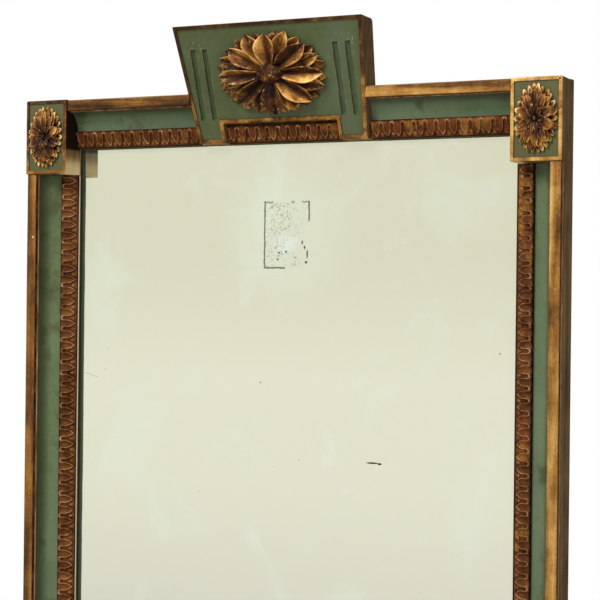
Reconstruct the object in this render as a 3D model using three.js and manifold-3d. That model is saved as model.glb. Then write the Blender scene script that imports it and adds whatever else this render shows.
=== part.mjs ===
// A neoclassical trumeau mirror: painted green, with gilt mouldings, carved rosettes and a leaning crest.
// Millimetres. X runs to the right, Y runs back into the wall and Z runs up.
// The origin is on the wall plane, in the middle of the top rail's back.
import * as THREE from 'three';
import Module from 'manifold-3d';
import { mergeVertices } from 'three/addons/utils/BufferGeometryUtils.js';

const wasm = await Module();
wasm.setup();

// ---------------------------------------------------------------- sizes

// The frame as a whole.
const FRAME_WIDTH = 1000;
const FRAME_HEIGHT = 1600;
const FRAME_DEPTH = 60;

// The room left between two pieces that touch, and the play round pieces that are dropped in.
const GAP = 0.3;
const GLASS_PLAY = 2.5;
const BOARD_PLAY = 0.8;

// The mouldings, from the outside of the frame to the mirror. Depths count back from the fillet's face.
const FILLET_INSET = 2;
const FILLET_WIDTH = 18;
const FILLET_THICKNESS = 8;
const COVE_WIDTH = 34.5;
const COVE_LISTEL = 1.7;
const COVE_DEEPEST = 36;
const LEAF_WIDTH = 32;
const LEAF_CREST_DEPTH = 29.3;
const LEAF_EDGE_DEPTH = 43;
const LEAF_GROOVE = 3.6;
const LEAF_PITCH = 20;
const SEAT_DEPTH = 45;
const LIP_THICKNESS = 3.5;

// The plate, the boards behind it and the rebates that they lie in.
const GLASS_THICKNESS = 4;
const BOARD_THICKNESS = 6.5;
const BOARD_COUNT = 3;
const SIGHT_LAP = 10;
const BOARD_LAP = 12;

// The corner blocks.
const BLOCK_WIDTH = 85;
const BLOCK_HEIGHT = 132.5;
const BLOCK_PROUD = 3;
const BLOCK_BORDER = 6;
const FIELD_SINK = 2;
const BLOCK_ROSETTE_SIDE_MARGIN = 0.6;
const BLOCK_ROSETTE_END_MARGIN = 4;
const BLOCK_ROSETTE_RELIEF = 15;

// The crest. Its widths are at its top and at its feet; its height is split at the top of the frame.
const CREST_TOP_WIDTH = 352;
const CREST_FOOT_WIDTH = 317;
const CREST_RISE = 109;
const CREST_DROP = 84.5;
const CREST_SLOPE = 0.377;
const CREST_PROUD = 3.5;
const CREST_THICKNESS = 47;
const CREST_BORDER = 6.5;
const CREST_FOOT_SPREAD = 214;
const CREST_NOTCH_TOP = 52.2;
const CREST_ROSETTE_WIDTH = 205;
const CREST_ROSETTE_HEIGHT = 143;
const CREST_ROSETTE_RISE = 26.7;
const CREST_ROSETTE_RELIEF = 20;
const FLUTE_RADIUS = 3.6;
const FLUTE_DEPTH = 3;
const FLUTE_OFFSETS = [121.5, 144];
const FLUTE_TOP = 71;
const FLUTE_BOTTOM = -46.5;

// Brads and screws.
const BRAD_RADIUS = 1;
const BRAD_HEAD_RADIUS = 2.5;
const BRAD_HEAD = 1;
const CREST_SCREW_RADIUS = 2.2;
const CREST_SCREW_HEAD_RADIUS = 4.5;
const CREST_SCREW_HEAD = 2.6;
const CREST_SCREW_BITE = 22;
const HANGER_SCREW_RADIUS = 1.5;
const HANGER_SCREW_HEAD_RADIUS = 3.1;
const HANGER_SCREW_HEAD = 1.5;
const HANGER_SCREW_BITE = 13;

// The hanging rings, their plates and the pockets that they lie in.
const HANGER_DROP = 190;
const HANGER_INSET = 34;
const POCKET_WIDTH = 36;
const POCKET_DEPTH = 9;
const RING_RADIUS = 15;
const RING_WIRE = 1.8;
const RING_PLAY = 0.8;
const EYE_WALL = 1.2;
const EYE_WIDTH = 7;
const PLATE_WIDTH = 20;
const PLATE_THICKNESS = 1.8;
const PLATE_HEIGHT = 30;
const HANGER_SCREW_HEIGHTS = [9.5, 21.5];

// ---------------------------------------------------------------- what follows from the sizes

const COVE_START = FILLET_INSET + FILLET_WIDTH;
const LEAF_START = COVE_START + COVE_WIDTH;
const SIGHT = LEAF_START + LEAF_WIDTH;
const GLASS_EDGE = SIGHT - SIGHT_LAP;
const BOARD_EDGE = GLASS_EDGE - BOARD_LAP;
const GLASS_FRONT = SEAT_DEPTH + LIP_THICKNESS + GAP;
const GLASS_BACK = GLASS_FRONT + GLASS_THICKNESS;
const BOARD_FRONT = GLASS_BACK + GAP;
const BOARD_BACK = BOARD_FRONT + BOARD_THICKNESS;
const LAP_DEPTH = (SEAT_DEPTH + FRAME_DEPTH) / 2;
const BLOCK_BACK = SEAT_DEPTH - GAP;
const BLOCK_END = BLOCK_WIDTH + GAP;
const BLOCK_FOOT = BLOCK_HEIGHT + GAP;

const HALF_WIDTH = FRAME_WIDTH / 2;
const FRONT_Y = -FRAME_DEPTH;
const TOP_Z = BOARD_EDGE / 2;
const BOTTOM_Z = TOP_Z - FRAME_HEIGHT;

const CREST_SCREW_X = (CREST_FOOT_SPREAD + CREST_FOOT_WIDTH) / 4;
const HANGER_Z = TOP_Z - HANGER_DROP;
const HANGER_X = HALF_WIDTH - HANGER_INSET;
const RING_Y = -POCKET_DEPTH + GAP + EYE_WALL + RING_WIRE + RING_PLAY;
const EYE_RADIUS = EYE_WALL + RING_WIRE + RING_PLAY;

// ---------------------------------------------------------------- colours

const GREEN = 0x5a6a48;
const GILT = 0xb08a4c;
const LEAF_GILT = 0x7a5230;
const ROSETTE_GILT = 0xa07a40;
const SIDE_BROWN = 0x4b3e31;
const PINE = 0xb8975f;
const SILVER = 0xd9dcc4;
const IRON = 0x3f3a36;

// ---------------------------------------------------------------- tools

const group = new THREE.Group();
group.name = 'trumeau_mirror';

// Turns a geometry into a closed solid that faces out.
function toSolid(geometry) {
  const bare = geometry.clone();
  bare.deleteAttribute('normal');
  bare.deleteAttribute('uv');
  const merged = mergeVertices(bare, 1e-4);
  const points = new Float32Array(merged.attributes.position.array);
  const corners = new Uint32Array(merged.index.array);
  let volume = 0;
  const a = new THREE.Vector3();
  const b = new THREE.Vector3();
  const c = new THREE.Vector3();
  for (let i = 0; i < corners.length; i += 3) {
    a.fromArray(points, corners[i] * 3);
    b.fromArray(points, corners[i + 1] * 3);
    c.fromArray(points, corners[i + 2] * 3);
    volume += a.dot(b.cross(c)) / 6;
  }
  if (volume < 0) {
    for (let i = 0; i < corners.length; i += 3) {
      const kept = corners[i];
      corners[i] = corners[i + 1];
      corners[i + 1] = kept;
    }
  }
  const mesh = new wasm.Mesh({ numProp: 3, vertProperties: points, triVerts: corners });
  return new wasm.Manifold(mesh);
}

// Puts a finished solid into the assembly under its own name and colour.
function addPiece(name, solid, color, roughness, metalness) {
  const mesh = solid.getMesh();
  const geometry = new THREE.BufferGeometry();
  geometry.setAttribute('position', new THREE.BufferAttribute(new Float32Array(mesh.vertProperties), 3));
  geometry.setIndex(new THREE.BufferAttribute(new Uint32Array(mesh.triVerts), 1));
  geometry.computeVertexNormals();
  const material = new THREE.MeshStandardMaterial({ color, roughness, metalness });
  const piece = new THREE.Mesh(geometry, material);
  piece.name = name;
  group.add(piece);
}

// A block between two corners.
function box(x0, x1, y0, y1, z0, z1) {
  const geometry = new THREE.BoxGeometry(x1 - x0, y1 - y0, z1 - z0);
  geometry.translate((x0 + x1) / 2, (y0 + y1) / 2, (z0 + z1) / 2);
  return toSolid(geometry);
}

// A round peg along Y.
function peg(x, z, radius, y0, y1) {
  const geometry = new THREE.CylinderGeometry(radius, radius, y1 - y0, 12);
  geometry.translate(x, (y0 + y1) / 2, z);
  return toSolid(geometry);
}

// An outline in X and Z, carried along Y from y0 to y1.
function slab(points, y0, y1) {
  const shape = new THREE.Shape(points.map(([x, z]) => new THREE.Vector2(x, z)));
  const geometry = new THREE.ExtrudeGeometry(shape, { depth: y1 - y0, bevelEnabled: false });
  const turn = new THREE.Matrix4().makeBasis(
    new THREE.Vector3(1, 0, 0),
    new THREE.Vector3(0, 0, 1),
    new THREE.Vector3(0, 1, 0),
  );
  geometry.applyMatrix4(turn);
  geometry.translate(0, y0, 0);
  return toSolid(geometry);
}

// The four sides of the frame. Across runs from the outer edge to the mirror, along runs up or to the right.
const SIDES = {
  left: { across: [1, 0, 0], along: [0, 0, 1], corner: [-HALF_WIDTH, FRONT_Y, BOTTOM_Z] },
  right: { across: [-1, 0, 0], along: [0, 0, 1], corner: [HALF_WIDTH, FRONT_Y, BOTTOM_Z] },
  top: { across: [0, 0, -1], along: [1, 0, 0], corner: [-HALF_WIDTH, FRONT_Y, TOP_Z] },
  bottom: { across: [0, 0, 1], along: [1, 0, 0], corner: [-HALF_WIDTH, FRONT_Y, BOTTOM_Z] },
};

// Moves a geometry made of (across, depth, along) onto one side of the frame.
function ontoSide(geometry, side) {
  const { across, along, corner } = SIDES[side];
  const matrix = new THREE.Matrix4().makeBasis(
    new THREE.Vector3(...across),
    new THREE.Vector3(0, 1, 0),
    new THREE.Vector3(...along),
  );
  matrix.setPosition(...corner);
  geometry.applyMatrix4(matrix);
  return toSolid(geometry);
}

// A straight length of one section, points being (across, depth).
function run(points, side, start, end) {
  const shape = new THREE.Shape(points.map(([across, depth]) => new THREE.Vector2(across, depth)));
  const geometry = new THREE.ExtrudeGeometry(shape, { depth: end - start, bevelEnabled: false });
  geometry.translate(0, 0, start);
  return ontoSide(geometry, side);
}

// ---------------------------------------------------------------- the frame's four members

// An L section: a wall on the outside, and a board that carries the mouldings.
const MEMBER = [
  [0, FILLET_THICKNESS],
  [COVE_START, FILLET_THICKNESS],
  [COVE_START, SEAT_DEPTH],
  [SIGHT, SEAT_DEPTH],
  [SIGHT, FRAME_DEPTH],
  [0, FRAME_DEPTH],
];
const FAR = 40;

// The space of the plate and the space of the boards, cut from behind.
function rebates() {
  const glassX = HALF_WIDTH - GLASS_EDGE;
  const boardX = HALF_WIDTH - BOARD_EDGE;
  const glass = box(
    -glassX,
    glassX,
    FRONT_Y + GLASS_FRONT - GAP,
    FAR,
    BOTTOM_Z + GLASS_EDGE,
    TOP_Z - GLASS_EDGE,
  );
  const boards = box(
    -boardX,
    boardX,
    FRONT_Y + BOARD_FRONT - GAP,
    FAR,
    BOTTOM_Z + BOARD_EDGE,
    TOP_Z - BOARD_EDGE,
  );
  return glass.add(boards);
}

// The crest's face leans: this gives its depth at a height above the top of the frame.
function crestFace(rise) {
  return -CREST_PROUD - CREST_SLOPE * rise;
}

function crestHalfWidth(rise) {
  const share = (rise + CREST_DROP) / (CREST_RISE + CREST_DROP);
  return (CREST_FOOT_WIDTH + (CREST_TOP_WIDTH - CREST_FOOT_WIDTH) * share) / 2;
}

// The crest's front outline, grown by a margin.
function crestOutline(margin, y0, y1) {
  const low = -CREST_DROP - FAR;
  const high = CREST_RISE + FAR;
  const outline = [
    [-crestHalfWidth(low) - margin, TOP_Z + low],
    [crestHalfWidth(low) + margin, TOP_Z + low],
    [crestHalfWidth(high) + margin, TOP_Z + high],
    [-crestHalfWidth(high) - margin, TOP_Z + high],
  ];
  return slab(outline, y0, y1);
}

// The room for the crest in the front of the top rail.
const crestHousing = crestOutline(GAP, -3 * FRAME_DEPTH, FRONT_Y + SEAT_DEPTH);

// The lengthwise places of the blocks on each side.
const SIDE_ENDS = {
  left: [BLOCK_FOOT, FRAME_HEIGHT - BLOCK_FOOT],
  right: [BLOCK_FOOT, FRAME_HEIGHT - BLOCK_FOOT],
  top: [BLOCK_END, FRAME_WIDTH - BLOCK_END],
  bottom: [BLOCK_END, FRAME_WIDTH - BLOCK_END],
};

function hangerPocket(x) {
  const reach = 2 * RING_RADIUS + RING_WIRE + 3;
  const left = x - POCKET_WIDTH / 2;
  const right = x + POCKET_WIDTH / 2;
  return box(left, right, -POCKET_DEPTH, FAR, HANGER_Z - reach, HANGER_Z + reach);
}

// The bores of one hanger's screws, through its plate and into the stile.
function hangerBores(x) {
  const seat = -POCKET_DEPTH + GAP + PLATE_THICKNESS;
  const bores = HANGER_SCREW_HEIGHTS.map((height) => peg(
    x,
    HANGER_Z + height,
    HANGER_SCREW_RADIUS + GAP,
    seat - HANGER_SCREW_BITE - GAP,
    seat + GAP,
  ));
  return bores[0].add(bores[1]);
}

function stile(side, sign) {
  const half = HALF_WIDTH + FAR;
  const front = FRONT_Y - FAR;
  const seat = FRONT_Y + SEAT_DEPTH;
  const lap = FRONT_Y + LAP_DEPTH + GAP;
  const inner = SIGHT + GAP;
  let solid = run(MEMBER, side, 0, FRAME_HEIGHT);
  solid = solid.subtract(box(-half, half, front, seat, TOP_Z - BLOCK_FOOT, TOP_Z + FAR));
  solid = solid.subtract(box(-half, half, front, seat, BOTTOM_Z - FAR, BOTTOM_Z + BLOCK_FOOT));
  solid = solid.subtract(box(-half, half, front, lap, TOP_Z - inner, TOP_Z + FAR));
  solid = solid.subtract(box(-half, half, front, lap, BOTTOM_Z - FAR, BOTTOM_Z + inner));
  solid = solid.subtract(rebates());
  solid = solid.subtract(hangerPocket(sign * HANGER_X));
  return solid.subtract(hangerBores(sign * HANGER_X));
}

function rail(side) {
  const half = HALF_WIDTH + FAR;
  const front = FRONT_Y - FAR;
  const seat = FRONT_Y + SEAT_DEPTH;
  const lap = FRONT_Y + LAP_DEPTH;
  const face = HALF_WIDTH - BLOCK_END;
  const shoulder = HALF_WIDTH - SIGHT - GAP;
  const low = BOTTOM_Z - FAR;
  const high = TOP_Z + FAR;
  let solid = run(MEMBER, side, 0, FRAME_WIDTH);
  for (const sign of [-1, 1]) {
    const [x0, x1] = sign < 0 ? [-half, -face] : [face, half];
    const [x2, x3] = sign < 0 ? [-half, -shoulder] : [shoulder, half];
    solid = solid.subtract(box(x0, x1, front, seat, low, high));
    solid = solid.subtract(box(x2, x3, lap, FAR, low, high));
  }
  return solid.subtract(rebates());
}

// Each board's middle, for its brads.
const BOARDS_WIDTH = FRAME_WIDTH - 2 * BOARD_EDGE - 2 * BOARD_PLAY;
const BOARD_WIDTH = (BOARDS_WIDTH - (BOARD_COUNT - 1) * BOARD_PLAY) / BOARD_COUNT;
const BOARD_STEP = BOARD_WIDTH + BOARD_PLAY;
const BRAD_INSET = (BOARD_EDGE + GLASS_EDGE) / 2;
const BRAD_TIP = SEAT_DEPTH + 1.2;

function boardMiddle(index) {
  return (index - (BOARD_COUNT - 1) / 2) * BOARD_STEP;
}

function bradBores(z) {
  const bores = [];
  for (let i = 0; i < BOARD_COUNT; i += 1) {
    bores.push(peg(boardMiddle(i), z, BRAD_RADIUS + GAP, FRONT_Y + BRAD_TIP - GAP, FAR));
  }
  return bores.reduce((sum, bore) => sum.add(bore));
}

const BRAD_ROWS = { top: TOP_Z - BRAD_INSET, bottom: BOTTOM_Z + BRAD_INSET };
const CREST_SCREW_SEAT = FRAME_DEPTH - CREST_SCREW_HEAD - 0.8;

function crestScrewBores() {
  const tip = FRONT_Y + SEAT_DEPTH - CREST_SCREW_BITE;
  const seat = FRONT_Y + CREST_SCREW_SEAT;
  const bores = [];
  for (const x of [-CREST_SCREW_X, CREST_SCREW_X]) {
    bores.push(peg(x, 0, CREST_SCREW_RADIUS + GAP, tip - GAP, FAR));
    bores.push(peg(x, 0, CREST_SCREW_HEAD_RADIUS + GAP, seat - GAP, FAR));
  }
  return bores.reduce((sum, bore) => sum.add(bore));
}

addPiece('stile_left', stile('left', -1), SIDE_BROWN, 0.7, 0);
addPiece('stile_right', stile('right', 1), SIDE_BROWN, 0.7, 0);
addPiece(
  'rail_top',
  rail('top').subtract(crestHousing).subtract(bradBores(BRAD_ROWS.top)).subtract(crestScrewBores()),
  SIDE_BROWN,
  0.7,
  0,
);
addPiece('rail_bottom', rail('bottom').subtract(bradBores(BRAD_ROWS.bottom)), SIDE_BROWN, 0.7, 0);

// ---------------------------------------------------------------- the mouldings

// The gilt fillet: a flat strip on the frame's outer wall, with its arrises taken off.
const EASED = 1;
const FILLET = [
  [FILLET_INSET + EASED, 0],
  [COVE_START - EASED, 0],
  [COVE_START, EASED],
  [COVE_START, FILLET_THICKNESS - GAP],
  [FILLET_INSET, FILLET_THICKNESS - GAP],
  [FILLET_INSET, EASED],
];

// The green cove: a narrow flat, then a hollow of a quarter of an ellipse.
function coveSection() {
  const first = COVE_START + GAP;
  const last = LEAF_START - GAP;
  const flat = first + COVE_LISTEL;
  const steps = 8;
  const points = [
    [first, SEAT_DEPTH - GAP],
    [first, FILLET_THICKNESS + GAP],
    [flat, FILLET_THICKNESS + GAP],
  ];
  for (let i = 0; i <= steps; i += 1) {
    const turn = (i / steps) * Math.PI / 2;
    const across = last - (last - flat) * Math.cos(turn);
    const depth = FILLET_THICKNESS + 1 + (COVE_DEEPEST - FILLET_THICKNESS - 1) * Math.sin(turn);
    points.push([across, depth]);
  }
  points.push([last, SEAT_DEPTH - GAP]);
  return points;
}

// The carved leaf-tips: a row of tongues whose rounded tips point to the mirror, with grooves between them.
function leafRun(side, start, end) {
  const count = Math.max(1, Math.round((end - start) / LEAF_PITCH));
  const pitch = (end - start) / count;
  const shoulder = LEAF_CREST_DEPTH + (LEAF_EDGE_DEPTH - LEAF_CREST_DEPTH) * 0.6;
  const rows = [
    { across: LEAF_START + GAP, high: LEAF_CREST_DEPTH + 1.6, low: LEAF_CREST_DEPTH + 1.6, taper: 0.1 },
    { across: LEAF_START + LEAF_WIDTH * 0.2, high: LEAF_CREST_DEPTH, groove: 1, taper: 0.12 },
    { across: LEAF_START + LEAF_WIDTH * 0.78, high: shoulder, groove: 1.1, taper: 0.27 },
    { across: SIGHT, high: LEAF_EDGE_DEPTH, low: LEAF_EDGE_DEPTH, taper: 0.3 },
  ];
  for (const row of rows) {
    if (row.groove) {
      row.low = row.high + LEAF_GROOVE * row.groove;
    }
  }
  const points = [];
  const corners = [];
  const last = 3 * count;
  for (let step = 0; step <= last; step += 1) {
    const leaf = Math.floor(step / 3);
    const part = step % 3;
    for (const row of rows) {
      const shift = [0, row.taper, 1 - row.taper][part];
      points.push(row.across, part === 0 ? row.low : row.high, start + (leaf + shift) * pitch);
    }
  }
  const at = (step, row) => step * rows.length + row;
  for (let step = 0; step < last; step += 1) {
    for (let row = 0; row + 1 < rows.length; row += 1) {
      corners.push(at(step, row), at(step + 1, row), at(step + 1, row + 1));
      corners.push(at(step, row), at(step + 1, row + 1), at(step, row + 1));
    }
  }
  // The flat back, with a pair of points at every few leaves, and the two long edges.
  const stops = [];
  for (let leaf = 0; leaf < count; leaf += 6) {
    stops.push(leaf);
  }
  stops.push(count);
  const backs = stops.map((leaf) => {
    const along = start + leaf * pitch;
    points.push(LEAF_START + GAP, SEAT_DEPTH - GAP, along, SIGHT, SEAT_DEPTH - GAP, along);
    return points.length / 3 - 2;
  });
  const edge = rows.length - 1;
  for (let i = 0; i + 1 < backs.length; i += 1) {
    const here = backs[i];
    const next = backs[i + 1];
    corners.push(here, here + 1, next + 1, here, next + 1, next);
    for (let step = 3 * stops[i]; step < 3 * stops[i + 1]; step += 1) {
      corners.push(here, at(step + 1, 0), at(step, 0));
      corners.push(here + 1, at(step, edge), at(step + 1, edge));
    }
    corners.push(here, next, at(3 * stops[i + 1], 0));
    corners.push(here + 1, at(3 * stops[i + 1], edge), next + 1);
  }
  const close = (step, back, turned) => {
    const loop = [back, at(step, 0), at(step, 1), at(step, 2), at(step, 3), back + 1];
    for (let i = 1; i + 1 < loop.length; i += 1) {
      const pair = turned ? [loop[i + 1], loop[i]] : [loop[i], loop[i + 1]];
      corners.push(loop[0], ...pair);
    }
  };
  close(0, backs[0], false);
  close(last, backs[backs.length - 1], true);
  const geometry = new THREE.BufferGeometry();
  geometry.setAttribute('position', new THREE.Float32BufferAttribute(points, 3));
  geometry.setIndex(corners);
  return ontoSide(geometry, side);
}

const COVE = coveSection();
const middle = FRAME_WIDTH / 2;
for (const side of ['left', 'right', 'bottom']) {
  const [start, end] = SIDE_ENDS[side];
  const sign = side === 'left' ? -1 : 1;
  let cove = run(COVE, side, start, end);
  if (side !== 'bottom') {
    cove = cove.subtract(hangerBores(sign * HANGER_X));
  }
  addPiece(`fillet_${side}`, run(FILLET, side, start, end), GILT, 0.45, 0.6);
  addPiece(`cove_${side}`, cove, GREEN, 0.6, 0);
  addPiece(`leaf_${side}`, leafRun(side, start, end), LEAF_GILT, 0.5, 0.4);
}

// Along the top the mouldings stop against the crest, whose sides slope.
const crestCut = crestOutline(GAP, -3 * FRAME_DEPTH, FAR);
const topRuns = [
  ['left', SIDE_ENDS.top[0], middle],
  ['right', middle, SIDE_ENDS.top[1]],
];
for (const [hand, start, end] of topRuns) {
  addPiece(`fillet_top_${hand}`, run(FILLET, 'top', start, end).subtract(crestCut), GILT, 0.45, 0.6);
  addPiece(`cove_top_${hand}`, run(COVE, 'top', start, end).subtract(crestCut), GREEN, 0.6, 0);
  const leafStop = crestHalfWidth(-LEAF_START) + GAP;
  const [from, to] = hand === 'left' ? [start, middle - leafStop] : [middle + leafStop, end];
  addPiece(`leaf_top_${hand}`, leafRun('top', from, to), LEAF_GILT, 0.5, 0.4);
}
const notchHalf = CREST_FOOT_SPREAD / 2 - GAP;
addPiece('leaf_top_middle', leafRun('top', middle - notchHalf, middle + notchHalf), LEAF_GILT, 0.5, 0.4);

// ---------------------------------------------------------------- carved rosettes

// Local axes are sideways, up and out. Long inner petals lie over an outer ring of small ones, round a bud.
function rosette(halfWidth, halfHeight, relief, outerPetals, innerPetals) {
  const columns = outerPetals * 2;
  const rings = [
    { out: 0.1, height: 0.8, wave: 0 },
    { out: 0.17, height: 0.42, wave: 0 },
    { out: 0.4, height: 0.72, wave: 0.14 },
    { out: 0.66, height: 0.98, wave: 0.22 },
    { out: 0.72, height: 0.5, wave: 0.05 },
    { out: 0.97, height: 0.34, tip: 0.09 },
  ];
  const points = [0, 0, relief * 0.82];
  const corners = [];
  const place = (column, out, height) => {
    const turn = (column / columns) * 2 * Math.PI;
    points.push(halfWidth * out * Math.sin(turn), halfHeight * out * Math.cos(turn), relief * height);
  };
  for (const ring of rings) {
    for (let column = 0; column < columns; column += 1) {
      const turn = (column / columns) * 2 * Math.PI;
      const swell = Math.cos(turn * innerPetals);
      const tip = ring.tip ? ring.tip * (column % 2 ? -1 : 0.33) : 0;
      place(column, ring.out + tip, ring.height * (1 + (ring.wave || 0) * (swell - 1)));
    }
  }
  for (let column = 0; column < columns; column += 1) {
    place(column, column % 2 ? 0.88 : 1, 0);
  }
  points.push(0, 0, 0);
  const at = (ring, column) => 1 + ring * columns + (column % columns);
  const back = points.length / 3 - 1;
  for (let column = 0; column < columns; column += 1) {
    corners.push(0, at(0, column), at(0, column + 1));
    for (let ring = 0; ring < rings.length; ring += 1) {
      corners.push(at(ring, column), at(ring + 1, column), at(ring + 1, column + 1));
      corners.push(at(ring, column), at(ring + 1, column + 1), at(ring, column + 1));
    }
    corners.push(back, at(rings.length, column + 1), at(rings.length, column));
  }
  const geometry = new THREE.BufferGeometry();
  geometry.setAttribute('position', new THREE.Float32BufferAttribute(points, 3));
  geometry.setIndex(corners);
  return geometry;
}

// ---------------------------------------------------------------- the corner blocks

for (const level of ['top', 'bottom']) {
  for (const hand of ['left', 'right']) {
    const sign = hand === 'left' ? -1 : 1;
    const x = sign * (HALF_WIDTH - BLOCK_WIDTH / 2);
    const z = level === 'top' ? TOP_Z - BLOCK_HEIGHT / 2 : BOTTOM_Z + BLOCK_HEIGHT / 2;
    const halfX = BLOCK_WIDTH / 2;
    const halfZ = BLOCK_HEIGHT / 2;
    const face = FRONT_Y - BLOCK_PROUD;
    const field = face + FIELD_SINK;
    const fieldX = halfX - BLOCK_BORDER;
    const fieldZ = halfZ - BLOCK_BORDER;
    const whole = box(x - halfX, x + halfX, face, FRONT_Y + BLOCK_BACK, z - halfZ, z + halfZ);
    const sunk = box(x - fieldX, x + fieldX, face - FAR, field, z - fieldZ, z + fieldZ);
    addPiece(`block_${level}_${hand}`, whole.subtract(sunk), GREEN, 0.6, 0);
    const halfWide = fieldX - BLOCK_ROSETTE_SIDE_MARGIN;
    const halfHigh = fieldZ - BLOCK_ROSETTE_END_MARGIN;
    const carving = rosette(halfWide, halfHigh, BLOCK_ROSETTE_RELIEF, 16, 8);
    const matrix = new THREE.Matrix4().makeBasis(
      new THREE.Vector3(1, 0, 0),
      new THREE.Vector3(0, 0, 1),
      new THREE.Vector3(0, -1, 0),
    );
    matrix.setPosition(x, field - GAP, z);
    carving.applyMatrix4(matrix);
    addPiece(`block_rosette_${level}_${hand}`, toSolid(carving), ROSETTE_GILT, 0.45, 0.6);
  }
}

// ---------------------------------------------------------------- the crest

const LEAN = Math.atan(CREST_SLOPE);

// Places a geometry made of (sideways, up the face, out of the face) on the crest's face.
function ontoCrest(geometry, rise, lift) {
  const out = new THREE.Vector3(0, -Math.cos(LEAN), -Math.sin(LEAN));
  const up = new THREE.Vector3(0, -Math.sin(LEAN), Math.cos(LEAN));
  const matrix = new THREE.Matrix4().makeBasis(new THREE.Vector3(1, 0, 0), up, out);
  const origin = new THREE.Vector3(0, FRONT_Y + crestFace(rise), TOP_Z + rise);
  origin.addScaledVector(out, lift);
  matrix.setPosition(origin);
  geometry.applyMatrix4(matrix);
  return toSolid(geometry);
}

// The side view: the face leans forward, the top is level, and the foot is cut plumb to lie on the rail.
function crestSolid() {
  const top = CREST_RISE;
  const foot = -CREST_DROP;
  const back = SEAT_DEPTH - GAP;
  const meet = -(back - CREST_THICKNESS + CREST_PROUD) / CREST_SLOPE;
  const sideView = [
    [crestFace(foot), foot],
    [back, foot],
    [back, meet],
    [crestFace(top) + CREST_THICKNESS, top],
    [crestFace(top), top],
  ];
  const shape = new THREE.Shape(sideView.map(([depth, rise]) => new THREE.Vector2(depth, rise)));
  const reach = CREST_TOP_WIDTH + CREST_FOOT_WIDTH;
  const geometry = new THREE.ExtrudeGeometry(shape, { depth: reach, bevelEnabled: false });
  const matrix = new THREE.Matrix4().makeBasis(
    new THREE.Vector3(0, 1, 0),
    new THREE.Vector3(0, 0, 1),
    new THREE.Vector3(1, 0, 0),
  );
  matrix.setPosition(-reach / 2, FRONT_Y, TOP_Z);
  geometry.applyMatrix4(matrix);
  let solid = toSolid(geometry).intersect(crestOutline(0, -4 * FRAME_DEPTH, FAR));
  const notch = CREST_FOOT_SPREAD / 2;
  solid = solid.subtract(box(-notch, notch, -4 * FRAME_DEPTH, FAR, BOTTOM_Z, TOP_Z - CREST_NOTCH_TOP));
  return solid.subtract(crestField()).subtract(crestFlutes()).subtract(crestScrewBores());
}

// Heights up the face, counted from the frame's top.
function upTheFace(rise) {
  return rise / Math.cos(LEAN);
}

// The sunk field inside the border, shaped like the crest itself.
function crestField() {
  const top = CREST_RISE - CREST_BORDER;
  const foot = -CREST_DROP + CREST_BORDER;
  const notchX = CREST_FOOT_SPREAD / 2 + CREST_BORDER;
  const notchZ = -CREST_NOTCH_TOP + CREST_BORDER;
  const wide = (rise) => crestHalfWidth(rise) - CREST_BORDER;
  const outline = [
    [-wide(top), top],
    [-wide(foot), foot],
    [-notchX, foot],
    [-notchX, notchZ],
    [notchX, notchZ],
    [notchX, foot],
    [wide(foot), foot],
    [wide(top), top],
  ];
  const shape = new THREE.Shape(outline.map(([x, rise]) => new THREE.Vector2(x, upTheFace(rise))));
  const geometry = new THREE.ExtrudeGeometry(shape, { depth: FAR, bevelEnabled: false });
  return ontoCrest(geometry, 0, -FIELD_SINK);
}

// Two upright flutes beside each end of the crest.
function crestFlutes() {
  const length = upTheFace(FLUTE_TOP - FLUTE_BOTTOM);
  const middleRise = (FLUTE_TOP + FLUTE_BOTTOM) / 2;
  const flutes = [];
  for (const sign of [-1, 1]) {
    for (const offset of FLUTE_OFFSETS) {
      const geometry = new THREE.CylinderGeometry(FLUTE_RADIUS, FLUTE_RADIUS, length, 10);
      geometry.translate(sign * offset, 0, 0);
      flutes.push(ontoCrest(geometry, middleRise, -FIELD_SINK + FLUTE_RADIUS - FLUTE_DEPTH));
    }
  }
  return flutes.reduce((sum, flute) => sum.add(flute));
}

addPiece('crest_board', crestSolid(), GREEN, 0.6, 0);
const crestCarving = rosette(CREST_ROSETTE_WIDTH / 2, CREST_ROSETTE_HEIGHT / 2, CREST_ROSETTE_RELIEF, 24, 8);
addPiece(
  'crest_rosette',
  ontoCrest(crestCarving, CREST_ROSETTE_RISE, -FIELD_SINK + GAP),
  ROSETTE_GILT,
  0.45,
  0.6,
);

// ---------------------------------------------------------------- plate and backboards

// The plate stands on the bottom rail and has a little play at its other edges.
const plateX = HALF_WIDTH - GLASS_EDGE - GLASS_PLAY;
addPiece(
  'mirror_plate',
  box(
    -plateX,
    plateX,
    FRONT_Y + GLASS_FRONT,
    FRONT_Y + GLASS_BACK,
    BOTTOM_Z + GLASS_EDGE + GAP,
    TOP_Z - GLASS_EDGE - GLASS_PLAY,
  ),
  SILVER,
  0.05,
  1,
);

const BRAD_SEAT = BOARD_BACK - BRAD_HEAD - 0.4;
for (let i = 0; i < BOARD_COUNT; i += 1) {
  const x = boardMiddle(i);
  const low = BOTTOM_Z + BOARD_EDGE + GAP;
  const high = TOP_Z - BOARD_EDGE - BOARD_PLAY;
  let board = box(
    x - BOARD_WIDTH / 2,
    x + BOARD_WIDTH / 2,
    FRONT_Y + BOARD_FRONT,
    FRONT_Y + BOARD_BACK,
    low,
    high,
  );
  for (const z of Object.values(BRAD_ROWS)) {
    board = board.subtract(peg(x, z, BRAD_RADIUS + GAP, FRONT_Y, FAR));
    board = board.subtract(peg(x, z, BRAD_HEAD_RADIUS + GAP, FRONT_Y + BRAD_SEAT - GAP, FAR));
  }
  addPiece(`backboard_${i + 1}`, board, PINE, 0.8, 0);
}

// ---------------------------------------------------------------- brads and screws

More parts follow.
